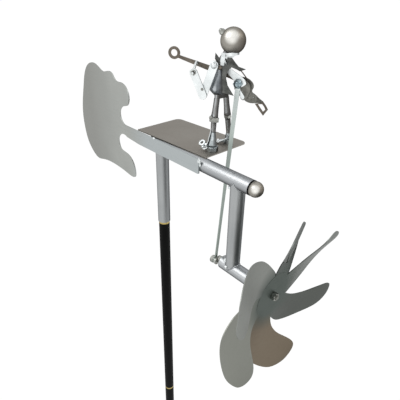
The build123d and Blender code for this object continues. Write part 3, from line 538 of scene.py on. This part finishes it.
def cut_plate(name, outline, v, thick, finish, body, *nodes, hole=None):
    """A sheet part of the figure, cut to an outline of (u, z) about a middle v, with softened edges."""
    curve = bpy.data.curves.new(name, "CURVE")
    curve.dimensions = "2D"
    curve.fill_mode = "BOTH"
    curve.extrude = (thick / 2 - ROUND_EDGE) * MM
    curve.bevel_depth = ROUND_EDGE * MM
    curve.bevel_resolution = 2
    curve.offset = -ROUND_EDGE * MM
    lines = [outline]
    if hole:
        centre, radius = hole
        lines.append(arc(centre, radius, 0, 360 - 360 / HOLE_SIDES, HOLE_SIDES - 1))
    for line in lines:
        spline = curve.splines.new("POLY")
        spline.points.add(len(line) - 1)
        for point, (u, z) in zip(spline.points, line):
            point.co = (u * MM, z * MM, 0, 1)
        spline.use_cyclic_u = True
    holder = bpy.data.objects.new(name, curve)
    bpy.context.scene.collection.objects.link(holder)
    mesh = bpy.data.meshes.new_from_object(holder.evaluated_get(bpy.context.evaluated_depsgraph_get()))
    verts = [on_figure(p.co.x / MM, v + thick / 2 - p.co.z / MM, p.co.y / MM) for p in mesh.vertices]
    faces = [tuple(p.vertices) for p in mesh.polygons]
    bpy.data.objects.remove(holder)
    piece_from(name, (verts, faces), finish, body, nodes)


THREAD_STEP = 0.2  # length of a threaded bar between two rings of corners


def turned(stations, sides=30, thread=None):
    """A round bar through (centre, radius in mm) stations, with flat ends; thread is (depth, pitch)."""
    line = []
    for (a, ra), (b, rb) in zip(stations, stations[1:]):
        parts = max(1, int((b - a).length / (THREAD_STEP * MM))) if thread else 1
        line += [(a.lerp(b, k / parts), ra + (rb - ra) * k / parts) for k in range(parts)]
    line.append(stations[-1])
    depth, pitch = thread or (0.0, 1.0)
    around = spokes((line[-1][0] - line[0][0]).normalized(), sides)
    verts, run = [], 0.0
    for i, (centre, radius) in enumerate(line):
        run += (centre - line[i - 1][0]).length if i else 0.0
        for angle, way in around:
            relief = depth * math.sin(angle + 2 * math.pi * run / (pitch * MM))
            verts.append(centre + way * (radius + relief) * MM)
    return verts, quads(len(line), sides) + caps(len(line), sides)


def stud(place, *stations):
    """A round stud that stands across the figure at (u, z), through (v, radius) stations."""
    return turned([(on_figure(place[0], v, place[1]), radius) for v, radius in stations])


NUT_SIDES = 48
CHAMFER = 0.09  # height of a nut's chamfer, as a share of its width across flats
CHAMFER_SLOPE = 1.73  # how far the chamfer's cone widens for each unit of height
CHAMFER_STEPS = 4
DOME_WIDTH = 0.46  # radius of a cap's dome, as a share of the flats
DOME_STEPS = 8
DOME_QUARTER = 8.4  # steps that a whole quarter circle would take, so that the top stays a small flat
BORE_MOUTH = 1.12  # widening of a bore at its mouth
MOUTH_DEPTH = 0.3


def hex_form(centre, axis, flats, height, bore, turn=0.0, dome=0.0):
    """A chamfered hexagon nut, open through its bore, or closed by a dome that is as high as given."""
    axis = Vector(axis).normalized()
    around = spokes(axis, NUT_SIDES, turn)
    chamfer = flats * CHAMFER
    low_steps = [chamfer * k / CHAMFER_STEPS for k in range(CHAMFER_STEPS + 1)]
    levels = low_steps + [height - step for step in reversed(low_steps)]
    verts = []

    def ring(level, radius_at):
        verts.extend(centre + axis * level * MM + way * radius_at(angle) * MM for angle, way in around)

    def hexagon(level):
        cone = flats / 2 + min(level, height - level) * CHAMFER_SLOPE
        return lambda a: min(flats / 2 / math.cos((a % (math.pi / 3)) - math.pi / 6), cone)

    ring(0.0, lambda a: bore)
    for level in levels:
        ring(level, hexagon(level))
    if dome:
        radius = flats * DOME_WIDTH
        for step in range(1, DOME_STEPS + 1):
            t = math.pi / 2 * step / DOME_QUARTER
            ring(height + radius * dome * math.sin(t), lambda a, t=t: radius * math.cos(t))
    else:
        for level, widening in ((height, BORE_MOUTH), (height - MOUTH_DEPTH, 1.0), (0.0, 1.0)):
            ring(level, lambda a, widening=widening: bore * widening)
    rings = len(verts) // NUT_SIDES
    return verts, quads(rings, NUT_SIDES) + (caps(rings, NUT_SIDES) if dome else [])


def ribbon(points, widths, thick, lies):
    """A flat strip along points, with the width and the lie of that width given at each of them."""
    verts = []
    for i, here in enumerate(points):
        along = (points[min(i + 1, len(points) - 1)] - points[max(i - 1, 0)]).normalized()
        wide = (lies[i] - along * lies[i].dot(along)).normalized()
        rise = along.cross(wide)
        for a, b in ((-1, -1), (1, -1), (1, 1), (-1, 1)):
            verts.append(here + wide * (a * widths[i] / 2 * MM) + rise * (b * thick / 2 * MM))
    return verts, quads(len(points), 4) + caps(len(points), 4)


def joined(*forms):
    """Several forms as one list of corners and faces."""
    verts, faces = [], []
    for more, sides in forms:
        faces += [tuple(i + len(verts) for i in face) for face in sides]
        verts += more
    return verts, faces


def form_piece(name, form, finish, body, *nodes, sharp=SHARP):
    """A piece made of forms, with sharp edges where its faces turn sharply."""
    piece_from(name, form, finish, body, nodes, sharp)


def pale_strip(name, thick, lie, stations):
    """A pale strip on the figure through (u, v, z, width) stations, each width kept up to the next one."""
    widths = [width for *_, width in stations for _ in range(SPAN_STEPS)]
    run = curved([place for *place, _ in stations])
    form_piece(name, ribbon(run, widths, thick, [lie] * len(run)), "strip_steel", "head")


# ============================================================================================
# Weld seams and weld spots of the head frame
# ============================================================================================
SEAM_R = 1.15
SEAM_STEPS = 160
SEAM_SIDES = 10
RIPPLE, RIPPLE_PITCH = 0.22, 1.6  # height of a seam's ripples, as a share of its radius, and their pitch
UNEVEN, UNEVEN_SCALE = 0.18, 900  # uneven share of a seam's radius, and lumps per metre
SEAM_END = 0.12  # share of a seam's length in which it tapers off
SEAM_BLUNT = 0.4  # the lower, the blunter its ends


def bead(name, points):
    """A weld seam: overlapping ripples swept along an open run of points."""
    verts, run = [], 0.0
    for i, here in enumerate(points):
        after = points[min(i + 1, len(points) - 1)]
        before = points[max(i - 1, 0)]
        run += (here - before).length
        wobble = 1 + RIPPLE * math.sin(run / (RIPPLE_PITCH * MM) * 2 * math.pi)
        wobble += UNEVEN * noise.noise(here * UNEVEN_SCALE)
        share = min(max((i + 0.5) / len(points), SEAM_END), 1 - SEAM_END)
        taper = math.sin(math.pi * share) ** SEAM_BLUNT
        for _, way in spokes((after - before).normalized(), SEAM_SIDES):
            verts.append(here + way * SEAM_R * MM * wobble * taper)
    faces = quads(len(points), SEAM_SIDES) + caps(len(points), SEAM_SIDES)
    piece_from(name, (verts, faces), "tube_steel", "head")


def saddle_seam(name, x, z, up):
    """The seam where an upright tube meets a level one, above or below it, as two runs from side to side."""
    line = []
    for i in range(SEAM_STEPS):
        angle = 2 * math.pi * i / SEAM_STEPS
        y = TUBE_R * math.sin(angle)
        rise = math.sqrt(max(TUBE_R * TUBE_R - y * y, 0.0))
        line.append(Vector((x, 0, z)) + Vector((TUBE_R * math.cos(angle), y, up * rise)))
    quarter, half = SEAM_STEPS // 4, SEAM_STEPS // 2
    line = line[quarter:] + line[:quarter]
    bead(f"{name}_a", line[: half + 1])
    bead(f"{name}_b", line[half:] + line[:1])


saddle_seam("seam_sleeve", 0, BOOM_Z, -1)
saddle_seam("seam_strut_top", STRUT_X, BOOM_Z, -1)
saddle_seam("seam_strut_foot", STRUT_X, HUB_Z, 1)

SPOT_RINGS, SPOT_SIDES = 12, 20
SPOT_LUMP, SPOT_SCALE = 0.28, 1.7  # uneven share of a weld spot's radius, and lumps for each radius


def weld_spot(name, centre, radius, flat, seed):
    """A lump of weld metal, uneven and a little flattened."""
    verts = []
    for i in range(SPOT_RINGS + 1):
        tilt = math.pi * i / SPOT_RINGS
        for k in range(SPOT_SIDES):
            angle = 2 * math.pi * k / SPOT_SIDES
            way = Vector((math.sin(tilt) * math.cos(angle), math.sin(tilt) * math.sin(angle), math.cos(tilt)))
            lump = 1 + SPOT_LUMP * noise.noise(way * SPOT_SCALE + Vector((seed, 0, 0)))
            verts.append(Vector(centre) + way * Vector(flat) * radius * MM * lump)
    piece_from(name, (verts, quads(SPOT_RINGS + 1, SPOT_SIDES)), "strip_steel", "head")


weld_spot("weld_bar_front", (0.0955, BAR_SIDE - 0.5 * MM, BOOM_Z + 8.5 * MM), 3.6, (1, 0.5, 1.1), 1)
weld_spot("weld_bar_front_low", (0.097, BAR_SIDE - 0.2 * MM, BOOM_Z + 3.5 * MM), 2.4, (1, 0.5, 1.1), 2)
weld_spot("weld_bar_middle", (-0.005, BAR_SIDE - 1.2 * MM, PLATE_TOP + 0.2 * MM), 2.2, (1.3, 0.6, 0.7), 3)
# The strut's spots are placed in shares of the tube's radius, from the strut's axis and the boom's or hub's.
for spot, (x_share, y_share, level, z_share), radius, flat, seed in (
    ("weld_strut_top", (-0.85, -0.62, BOOM_Z, -0.98), 2.8, (1, 0.8, 0.9), 6),
    ("weld_foot_left", (-0.95, -0.5, HUB_Z, 0.95), 3.4, (1, 0.9, 0.8), 4),
    ("weld_foot_front", (-0.3, -1.0, HUB_Z, 0.45), 2.6, (1.1, 0.7, 0.9), 5),
):
    centre = (STRUT_X + TUBE_R * x_share, TUBE_R * y_share, level + TUBE_R * z_share)
    weld_spot(spot, centre, radius, flat, seed)

# A black ring stands in as painted shade in the gap where the boom meets its end ball.
GAP_SHADE_R = TUBE_R / MM + 0.05  # just outside the boom, where its end ball begins
gap_shade_ring = [(Vector((BOOM_FRONT + ahead * MM, 0, BOOM_Z)), GAP_SHADE_R) for ahead in (-0.35, 0.75)]
form_piece("boom_end_gap_shade", turned(gap_shade_ring, 60), "pole_black", "head")

# ============================================================================================
# The rod: wide at the elbow, edge-on below the boom
# ============================================================================================
ROD_SHEET = 1.5
ROD_WIDTHS = (4.2, 6.4)  # at the crank and at the elbow
ROD_STEPS = 48
TWIST_START, TWIST_SPAN = 0.3, 0.62  # shares of the rod's length
EYE_STEPS = 40
EYE_OVERLAP = 0.4  # how far the strip runs into an eye's tab


def eye(centre, normal, towards, radius, bore, reach, width):
    """A flat eye with a tab along the rod: its form, the place where the strip starts, and its side."""
    along = (towards - normal * towards.dot(normal)).normalized()
    side = normal.cross(along)
    half = math.asin(width / 2 / radius)
    turns = [half + (2 * math.pi - 2 * half) * k / EYE_STEPS for k in range(EYE_STEPS + 1)]
    line = [(radius * math.cos(t), radius * math.sin(t)) for t in turns]
    line += [(reach, -width / 2), (reach, width / 2)]
    inner = [(bore * math.cos(t), bore * math.sin(t)) for t in (math.atan2(b, a) for a, b in line)]
    verts, faces, count = [], [], len(line)
    for rise, loop in ((-1, line), (1, line), (1, inner), (-1, inner)):
        lift = normal * (rise * ROD_SHEET / 2 * MM)
        verts += [centre + (along * a + side * b) * MM + lift for a, b in loop]
    for i in range(4):
        for k in range(count):
            n = (k + 1) % count
            first, second = i * count, (i + 1) % 4 * count
            faces.append((first + k, first + n, second + n, second + k))
    return (verts, faces), centre + along * (reach - EYE_OVERLAP) * MM, side


ELBOW_RIGHT = (-27.6, 87.6)
nut_y, nut_z = ((nut_low[axis] + nut_high[axis]) / 2 for axis in (1, 2))
low_eye = Vector((nut_high[0] + ROD_SHEET / 2 * MM, nut_y, nut_z))
high_eye = on_figure(ELBOW_RIGHT[0], -6.15, ELBOW_RIGHT[1])
rod_way = (high_eye - low_eye).normalized()
low_form, low_tip, low_side = eye(
    low_eye, Vector((1, 0, 0)), rod_way, radius=4.6, bore=2.5, reach=8.0, width=4.4)
high_form, high_tip, high_side = eye(
    high_eye, LEFTWARD, -rod_way, radius=4.8, bore=2.1, reach=9.0, width=ROD_WIDTHS[1])
if high_side.dot(low_side) < 0:
    high_side = -high_side
places, widths, sides = [], [], []
for step in range(ROD_STEPS + 1):
    share = step / ROD_STEPS
    turn = min(max((share - TWIST_START) / TWIST_SPAN, 0.0), 1.0)
    places.append(low_tip.lerp(high_tip, share))
    widths.append(ROD_WIDTHS[0] + (ROD_WIDTHS[1] - ROD_WIDTHS[0]) * share)
    sides.append(low_side.lerp(high_side, turn * turn * (3 - 2 * turn)).normalized())
strip = ribbon(places, widths, ROD_SHEET, sides)
form_piece("rod_strip", joined(low_form, high_form, strip), "rod_steel", "rod", "connecting_rod")

# ============================================================================================
# The figure: trunk, coat and collar
# ============================================================================================
# Stations of (forwards, radius, height), and outlines of (forwards, height), in millimetres.
TRUNK = [(-3.1, 6.4, 73), (-3.1, 6.9, 73.4), (-1.4, 9.8, 78), (-1.0, 10.4, 82), (-1.5, 9.4, 87),
         (-2.6, 7.8, 94), (-4.0, 5.9, 101), (-4.5, 5.0, 105.5), (-4.5, 5.0, 118)]
COAT = [(-7.4, 121), (-12.9, 121.6), (-19.6, 121.6), (-24.9, 115.5), (-28.4, 111.5), (-38.4, 108.6),
        (-30.9, 105.8), (-25.9, 108), (-19.9, 110), (-13.9, 104), (-13.4, 96), (-15.9, 87), (-24.6, 74.2),
        (-14, 76.3), (-8.4, 77)]
trunk = turned([(on_figure(u, 0, z), r) for u, r, z in TRUNK], 56)
form_piece("trunk", trunk, "trunk_steel", "head", "torso", sharp=50)
cut_plate("coat_front", COAT, 4.8, 1.2, "coat_steel", "head", "coat")
pale_strip("cravat", 1.0, FORWARD, [
    (-9.6, 8.6, 127.5, 5.2), (-9.0, 10.2, 122, 5.6), (-8.6, 10.4, 116.5, 4.6), (-8.4, 9.6, 112.5, 3.4)])
pale_strip("collar_wing", 0.9, UP, [
    (-10.4, 7.5, 124.5, 4.2), (-14.6, 4.5, 121.2, 3.2), (-18.9, -2, 121.4, 2.2), (-22.6, -7, 124.6, 1.0)])
pale_strip("shoulder_strap", 1.0, FORWARD, [
    (-9.6, 8.8, 119, 3.0), (-12.2, 8.4, 115.5, 3.0), (-14.4, 2, 110.5, 3.0), (-13.5, -5.5, 108.8, 3.0)])

# ---- arms ---------------------------------------------------------------------------------------
SHOULDER_LEFT, ELBOW_LEFT, HAND_LEFT = (1.7, 112.3), (15.3, 73.4), (28.2, 102.2)
SHOULDER_RIGHT = (-6.5, 112.5)
CHEST = (-4.6, 109.1)
LOW_RIVET, TAIL_RIVET = (16.1, 81.7), (-48.7, 68.7)
ARM_WIDTH = 10.6
ARM_SHEET = 2
upper_bar = bar_line(SHOULDER_LEFT, ELBOW_LEFT, ARM_WIDTH)
cut_plate("left_arm_upper", upper_bar, 10, ARM_SHEET, "strip_steel", "head", "left_upper_arm",
          hole=(SHOULDER_LEFT, 2.0))
lower_bar = bar_line(ELBOW_LEFT, HAND_LEFT, ARM_WIDTH)
cut_plate("left_arm_lower", lower_bar, 12.05, ARM_SHEET, "strip_steel", "head", "left_forearm",
          hole=(HAND_LEFT, 2.4))
shoulder_at = on_figure(SHOULDER_LEFT[0], 12.1, SHOULDER_LEFT[1])
shoulder = hex_form(shoulder_at, LEFTWARD, flats=7.4, height=2.4, bore=2.0, turn=0.2, dome=0.75)
form_piece("left_arm_nut", shoulder, "strip_steel", "head", "left_shoulder_nut")
chest = stud(CHEST, (2.5, 3.3), (5.8, 3.3), (6.8, 2.6), (7.2, 1.2))
form_piece("chest_bolt", chest, "instrument_steel", "head", sharp=50)
rivets = joined(
    stud(LOW_RIVET, (14, 1.9), (14.7, 1.6), (15.1, 0.8)),
    stud(TAIL_RIVET, (-15.6, 1.5), (-14.9, 1.2), (-14.6, 0.5)),
)
form_piece("rivet_heads", rivets, "fastener_zinc", "head", "rivets")
hand_at = on_figure(HAND_LEFT[0], 14.0, HAND_LEFT[1])
hand_nut = hex_form(hand_at, LEFTWARD, flats=6.4, height=1.6, bore=2.1, turn=0.1)
form_piece("hand_nut", hand_nut, "fastener_zinc", "head")
# A black disc in the hand nut's bore is painted shade in the hole.
form_piece("hand_hole_shade", stud(HAND_LEFT, (13.0, 2.0), (14.3, 2.0)), "pole_black", "head")
strap = curved([(-22.5, -12.6, 111.2), (-27.5, -12.8, 105.5), (-33.0, -13.0, 99.5), (-38.5, -13.6, 93.0)])
strap_wire = turned([(place, 0.75) for place in strap], 14)
form_piece("strap_wire", strap_wire, "instrument_steel", "head", sharp=60)

UPPER = [(-12.9, 109.9), (-20.6, 103.4), (-30.4, 97.4), (-36.2, 92.6), (-38.2, 87.5), (-33, 83.5),
         (-27.6, 82.0), (-22.8, 85.2), (-21.4, 91.4), (-13.2, 98.8), (-5, 106),
         *arc(SHOULDER_RIGHT, 6.8, -66, 190, 8)]
FORE = [(-25.2, 91.5), (-31.5, 94), (-38, 91.5), (-43, 86.5), (-44.2, 80), (-42.5, 73.5), (-38.8, 67.2),
        (-35.2, 65.6), (-31.8, 68), (-30.6, 74), (-28.8, 81), (-24.6, 84.5)]
PALM = [(-26.5, 86), (-29.4, 84.0), (-32.0, 78.0), (-35.0, 74.0), (-37.2, 70.2), (-36.2, 67.4), (-34.2, 67.0),
        (-31.4, 70.0), (-29.6, 75.5), (-26.6, 81)]
cut_plate("right_arm_upper", closed_line(UPPER), -9, ARM_SHEET, "strip_steel", "right_arm", "right_upper_arm")
cut_plate("right_arm_lower", closed_line(FORE), -10.55, 1.5, "body_steel", "right_arm", "right_forearm")
cut_plate("right_palm", closed_line(PALM), -9.0, 1.2, "strip_steel", "right_arm")
elbow_at = on_figure(ELBOW_RIGHT[0], -5.2, ELBOW_RIGHT[1])
elbow = hex_form(elbow_at, LEFTWARD, flats=11.0, height=3.4, bore=3.0, turn=0.3, dome=0.8)
form_piece("elbow_cap", elbow, "cap_zinc", "right_arm", "elbow_nut")

# ---- legs and shoes -------------------------------------------------------------------------------
LEGS = {
    "left": {
        "hip": (-2.7, 7.0, 69.5), "knee": (-0.9, 12, 42.0), "ankle": (-1.0, 16.5, 26),
        "sole": (-1.1, 18.5, 8), "sole_flats": 14.4, "knee_nut": {"flats": 12.0, "height": 6.0},
        "toe": (8.6, 18.4, 4.4), "toe_way": (0.25, -0.8, 0.55), "toe_nut": {"flats": 8.6, "bore": 1.9},
        "thread": (0.22, 1.5),
    },
    "right": {
        "hip": (-12.4, -7.0, 69.5), "knee": (-15.2, -12, 40.5), "ankle": (-17.2, -16, 16),
        "sole": (-17.0, -17, 8), "sole_flats": 11.0, "knee_nut": {"flats": 9.6, "height": 4.0},
        "toe": (-4.5, -11.5, 3.4), "toe_way": FORWARD * 2.5 + LEFTWARD,
        "toe_nut": {"flats": 5.8, "bore": 1.5}, "thread": None,
    },
}
THIGH = [(0.0, 3.9), (0.45, 4.0), (0.8, 4.5), (0.97, 4.9), (1.0, 4.3)]  # shares from hip to knee, and radii
KNEE_HALF = 3  # from the knee's middle to the end of the thigh and of the shin
LEG_PLACES = ("hip", "knee", "ankle", "sole", "toe")
knees, toes = [], []
for side, leg in LEGS.items():
    hip, knee, ankle, sole, toe = (on_figure(*leg[place]) for place in LEG_PLACES)
    down = (knee - hip).normalized()
    knee_top, knee_low = knee - down * KNEE_HALF * MM, knee + down * KNEE_HALF * MM
    thigh = turned([(hip.lerp(knee_top, share), radius) for share, radius in THIGH])
    form_piece(f"thigh_{side}", thigh, "limb_steel", "head", f"{side}_thigh", sharp=50)
    shin = turned([(knee_low, 3.9), (ankle, 3.5)], thread=leg["thread"])
    form_piece(f"shin_{side}", shin, "limb_steel", "head", f"{side}_shin", sharp=60)
    foot = Vector((sole.x, sole.y, PLATE_TOP))
    boot = joined(
        turned([(ankle, 3.6), (ankle.lerp(sole, 0.5), 4.5), (sole, leg["sole_flats"] * DOME_WIDTH)]),
        hex_form(foot, UP, leg["sole_flats"], height=6.4, bore=2.6, turn=0.2, dome=0.2),
        turned([(Vector((foot.x, foot.y, toe.z)), 2.6), (toe, 2.3)]),
    )
    form_piece(f"boot_{side}", boot, "boot_steel", "head", f"{side}_boot")
    knees.append(hex_form(knee_top, down, **leg["knee_nut"], bore=4.2, turn=0.4))
    toes.append(hex_form(toe, leg["toe_way"], **leg["toe_nut"], height=3.2, turn=0.1))
knee_cap_way = FORWARD + LEFTWARD * 1.2
knees.append(hex_form(on_figure(2.3, 15.4, 45.6), knee_cap_way, flats=5.0, height=1.2, bore=2.0, dome=0.9))
second_nut_way = (0.1, -0.62, 0.78)
toes.append(hex_form(on_figure(13.2, 15.8, 7.6), second_nut_way, flats=9.0, height=3.2, bore=2.1, turn=0.3))
form_piece("knee_fasteners", joined(*knees), "fastener_zinc", "head", "knee_nuts")
form_piece("toe_fasteners", joined(*toes), "strip_steel", "head", "toe_nuts")
pale_strip("boot_strip", 1.0, FORWARD * 0.3 + LEFTWARD, [
    (1.2, 18.6, 29.5, 2.2), (2.8, 20.6, 21.0, 2.8), (4.6, 21.6, 12.5, 3.6), (8.4, 21.6, 6.0, 4.2),
    (13.6, 20.2, 3.6, 3.0)])
pale_strip("foot_strip", 1.2, LEFTWARD + UP * 0.6, [
    (-16.4, -12.2, 8.6, 4.2), (-11.6, -11.2, 5.8, 4.6), (-6.2, -10.6, 3.8, 4.0), (-0.8, -10.4, 2.4, 2.0)])

# ============================================================================================
# Floor, light and camera
# ============================================================================================
FLOOR_PAINT = 0.88
FLOOR_GLOW = 1.04
GLOW_SHARE = 0.9  # the rest of the floor takes shadow
FLOOR_HALF = 150.0  # in metres, so that its edge lies at the horizon


def make_floor():
    """A pale floor that carries the shadow and shows white behind the object."""
    material = bpy.data.materials.new("pale_floor")
    material.use_nodes = True
    tree = material.node_tree
    tree.nodes.remove(tree.nodes["Principled BSDF"])
    paint = add(tree, "ShaderNodeBsdfDiffuse", in_0=(FLOOR_PAINT, FLOOR_PAINT, FLOOR_PAINT, 1))
    glow = add(tree, "ShaderNodeEmission", in_0=(1, 1, 1, 1), in_1=FLOOR_GLOW)
    ray = add(tree, "ShaderNodeLightPath")
    seen = maths(tree, "MAXIMUM", ray.outputs["Is Camera Ray"], ray.outputs["Is Transmission Ray"])
    seen = maths(tree, "MAXIMUM", seen, ray.outputs["Is Glossy Ray"])
    mix = add(tree, "ShaderNodeMixShader")
    tree.links.new(maths(tree, "MULTIPLY", seen, GLOW_SHARE), mix.inputs[0])
    tree.links.new(paint.outputs[0], mix.inputs[1])
    tree.links.new(glow.outputs[0], mix.inputs[2])
    tree.links.new(mix.outputs[0], tree.nodes["Material Output"].inputs["Surface"])
    mesh = bpy.data.meshes.new("lawn_level")
    corners = [(x * FLOOR_HALF, y * FLOOR_HALF, 0) for x, y in ((-1, -1), (1, -1), (1, 1), (-1, 1))]
    mesh.from_pydata(corners, [], [(0, 1, 2, 3)])
    floor = bpy.data.objects.new("lawn_level", mesh)
    bpy.context.scene.collection.objects.link(floor)
    mesh.materials.append(material)


# Height on the room's wall, from straight down at 0 to straight up at 1, and its brightness there.
ROOM_LEVELS = ((0.59, 1.0), (0.66, 0.5), (0.73, 0.85), (0.88, 1.0))


def make_world():
    """A pale room: white at the horizon and overhead, greyer in between."""
    world = bpy.data.worlds.new("studio_room")
    bpy.context.scene.world = world
    world.use_nodes = True
    tree = world.node_tree
    background = tree.nodes["Background"]
    split = add(tree, "ShaderNodeSeparateXYZ")
    tree.links.new(add(tree, "ShaderNodeTexCoord").outputs["Generated"], split.inputs[0])
    ramp = add(tree, "ShaderNodeValToRGB")
    stops = ramp.color_ramp.elements
    stops[0].position, stops[0].color = 0.0, (1, 1, 1, 1)
    stops[1].position, stops[1].color = 1.0, (1, 1, 1, 1)
    for where, level in ROOM_LEVELS:
        stops.new(where).color = (level, level, level * 1.01, 1)
    tree.links.new(maths(tree, "MULTIPLY_ADD", split.outputs["Z"], 0.5, 0.5), ramp.inputs[0])
    tree.links.new(ramp.outputs[0], background.inputs["Color"])
    background.inputs["Strength"].default_value = 1.0


LAMP_AIM = Vector((0.05, 0, BOOM_Z))


def soft_lamp(name, place, size, power):
    """A square soft box aimed at the boom."""
    data = bpy.data.lights.new(name, "AREA")
    data.shape = "RECTANGLE"
    data.size = data.size_y = size
    data.energy = power
    lamp = bpy.data.objects.new(name, data)
    lamp.location = place
    lamp.rotation_euler = (LAMP_AIM - Vector(place)).to_track_quat("-Z", "Y").to_euler()
    bpy.context.scene.collection.objects.link(lamp)


CAMERA_AT = Vector((0.45497, -0.33062, BOOM_Z + 0.21747))
CAMERA_LENS = 35.588
CAMERA_AZIMUTH, CAMERA_PITCH, CAMERA_ROLL = (math.radians(angle) for angle in (47.998, 29.039, 1.144))


def make_camera():
    """The camera looks down on the head from the propeller's side."""
    across, deep = math.cos(CAMERA_AZIMUTH), math.sin(CAMERA_AZIMUTH)
    level = math.cos(CAMERA_PITCH)
    ahead = Vector((-deep * level, across * level, -math.sin(CAMERA_PITCH)))
    right = Vector((across, deep, 0))
    above = right.cross(ahead)
    side = right * math.cos(CAMERA_ROLL) + above * math.sin(CAMERA_ROLL)
    top = above * math.cos(CAMERA_ROLL) - right * math.sin(CAMERA_ROLL)
    data = bpy.data.cameras.new("viewer")
    data.sensor_width = 36.0
    data.lens = CAMERA_LENS
    data.clip_start = 0.01
    camera = bpy.data.objects.new("viewer", data)
    camera.matrix_world = Matrix.Translation(CAMERA_AT) @ Matrix((side, top, -ahead)).transposed().to_4x4()
    bpy.context.scene.collection.objects.link(camera)
    bpy.context.scene.camera = camera


make_floor()
make_world()
make_camera()
soft_lamp("over_left", (-0.6, -1.3, BOOM_Z + 1.5), size=1.2, power=11)
soft_lamp("over_right", (1.3, 0.9, BOOM_Z + 1.3), size=0.9, power=5)
soft_lamp("front_fill", (1.2, -1.4, BOOM_Z + 0.2), size=1.4, power=3)
bpy.context.scene.view_settings.view_transform = "Standard"
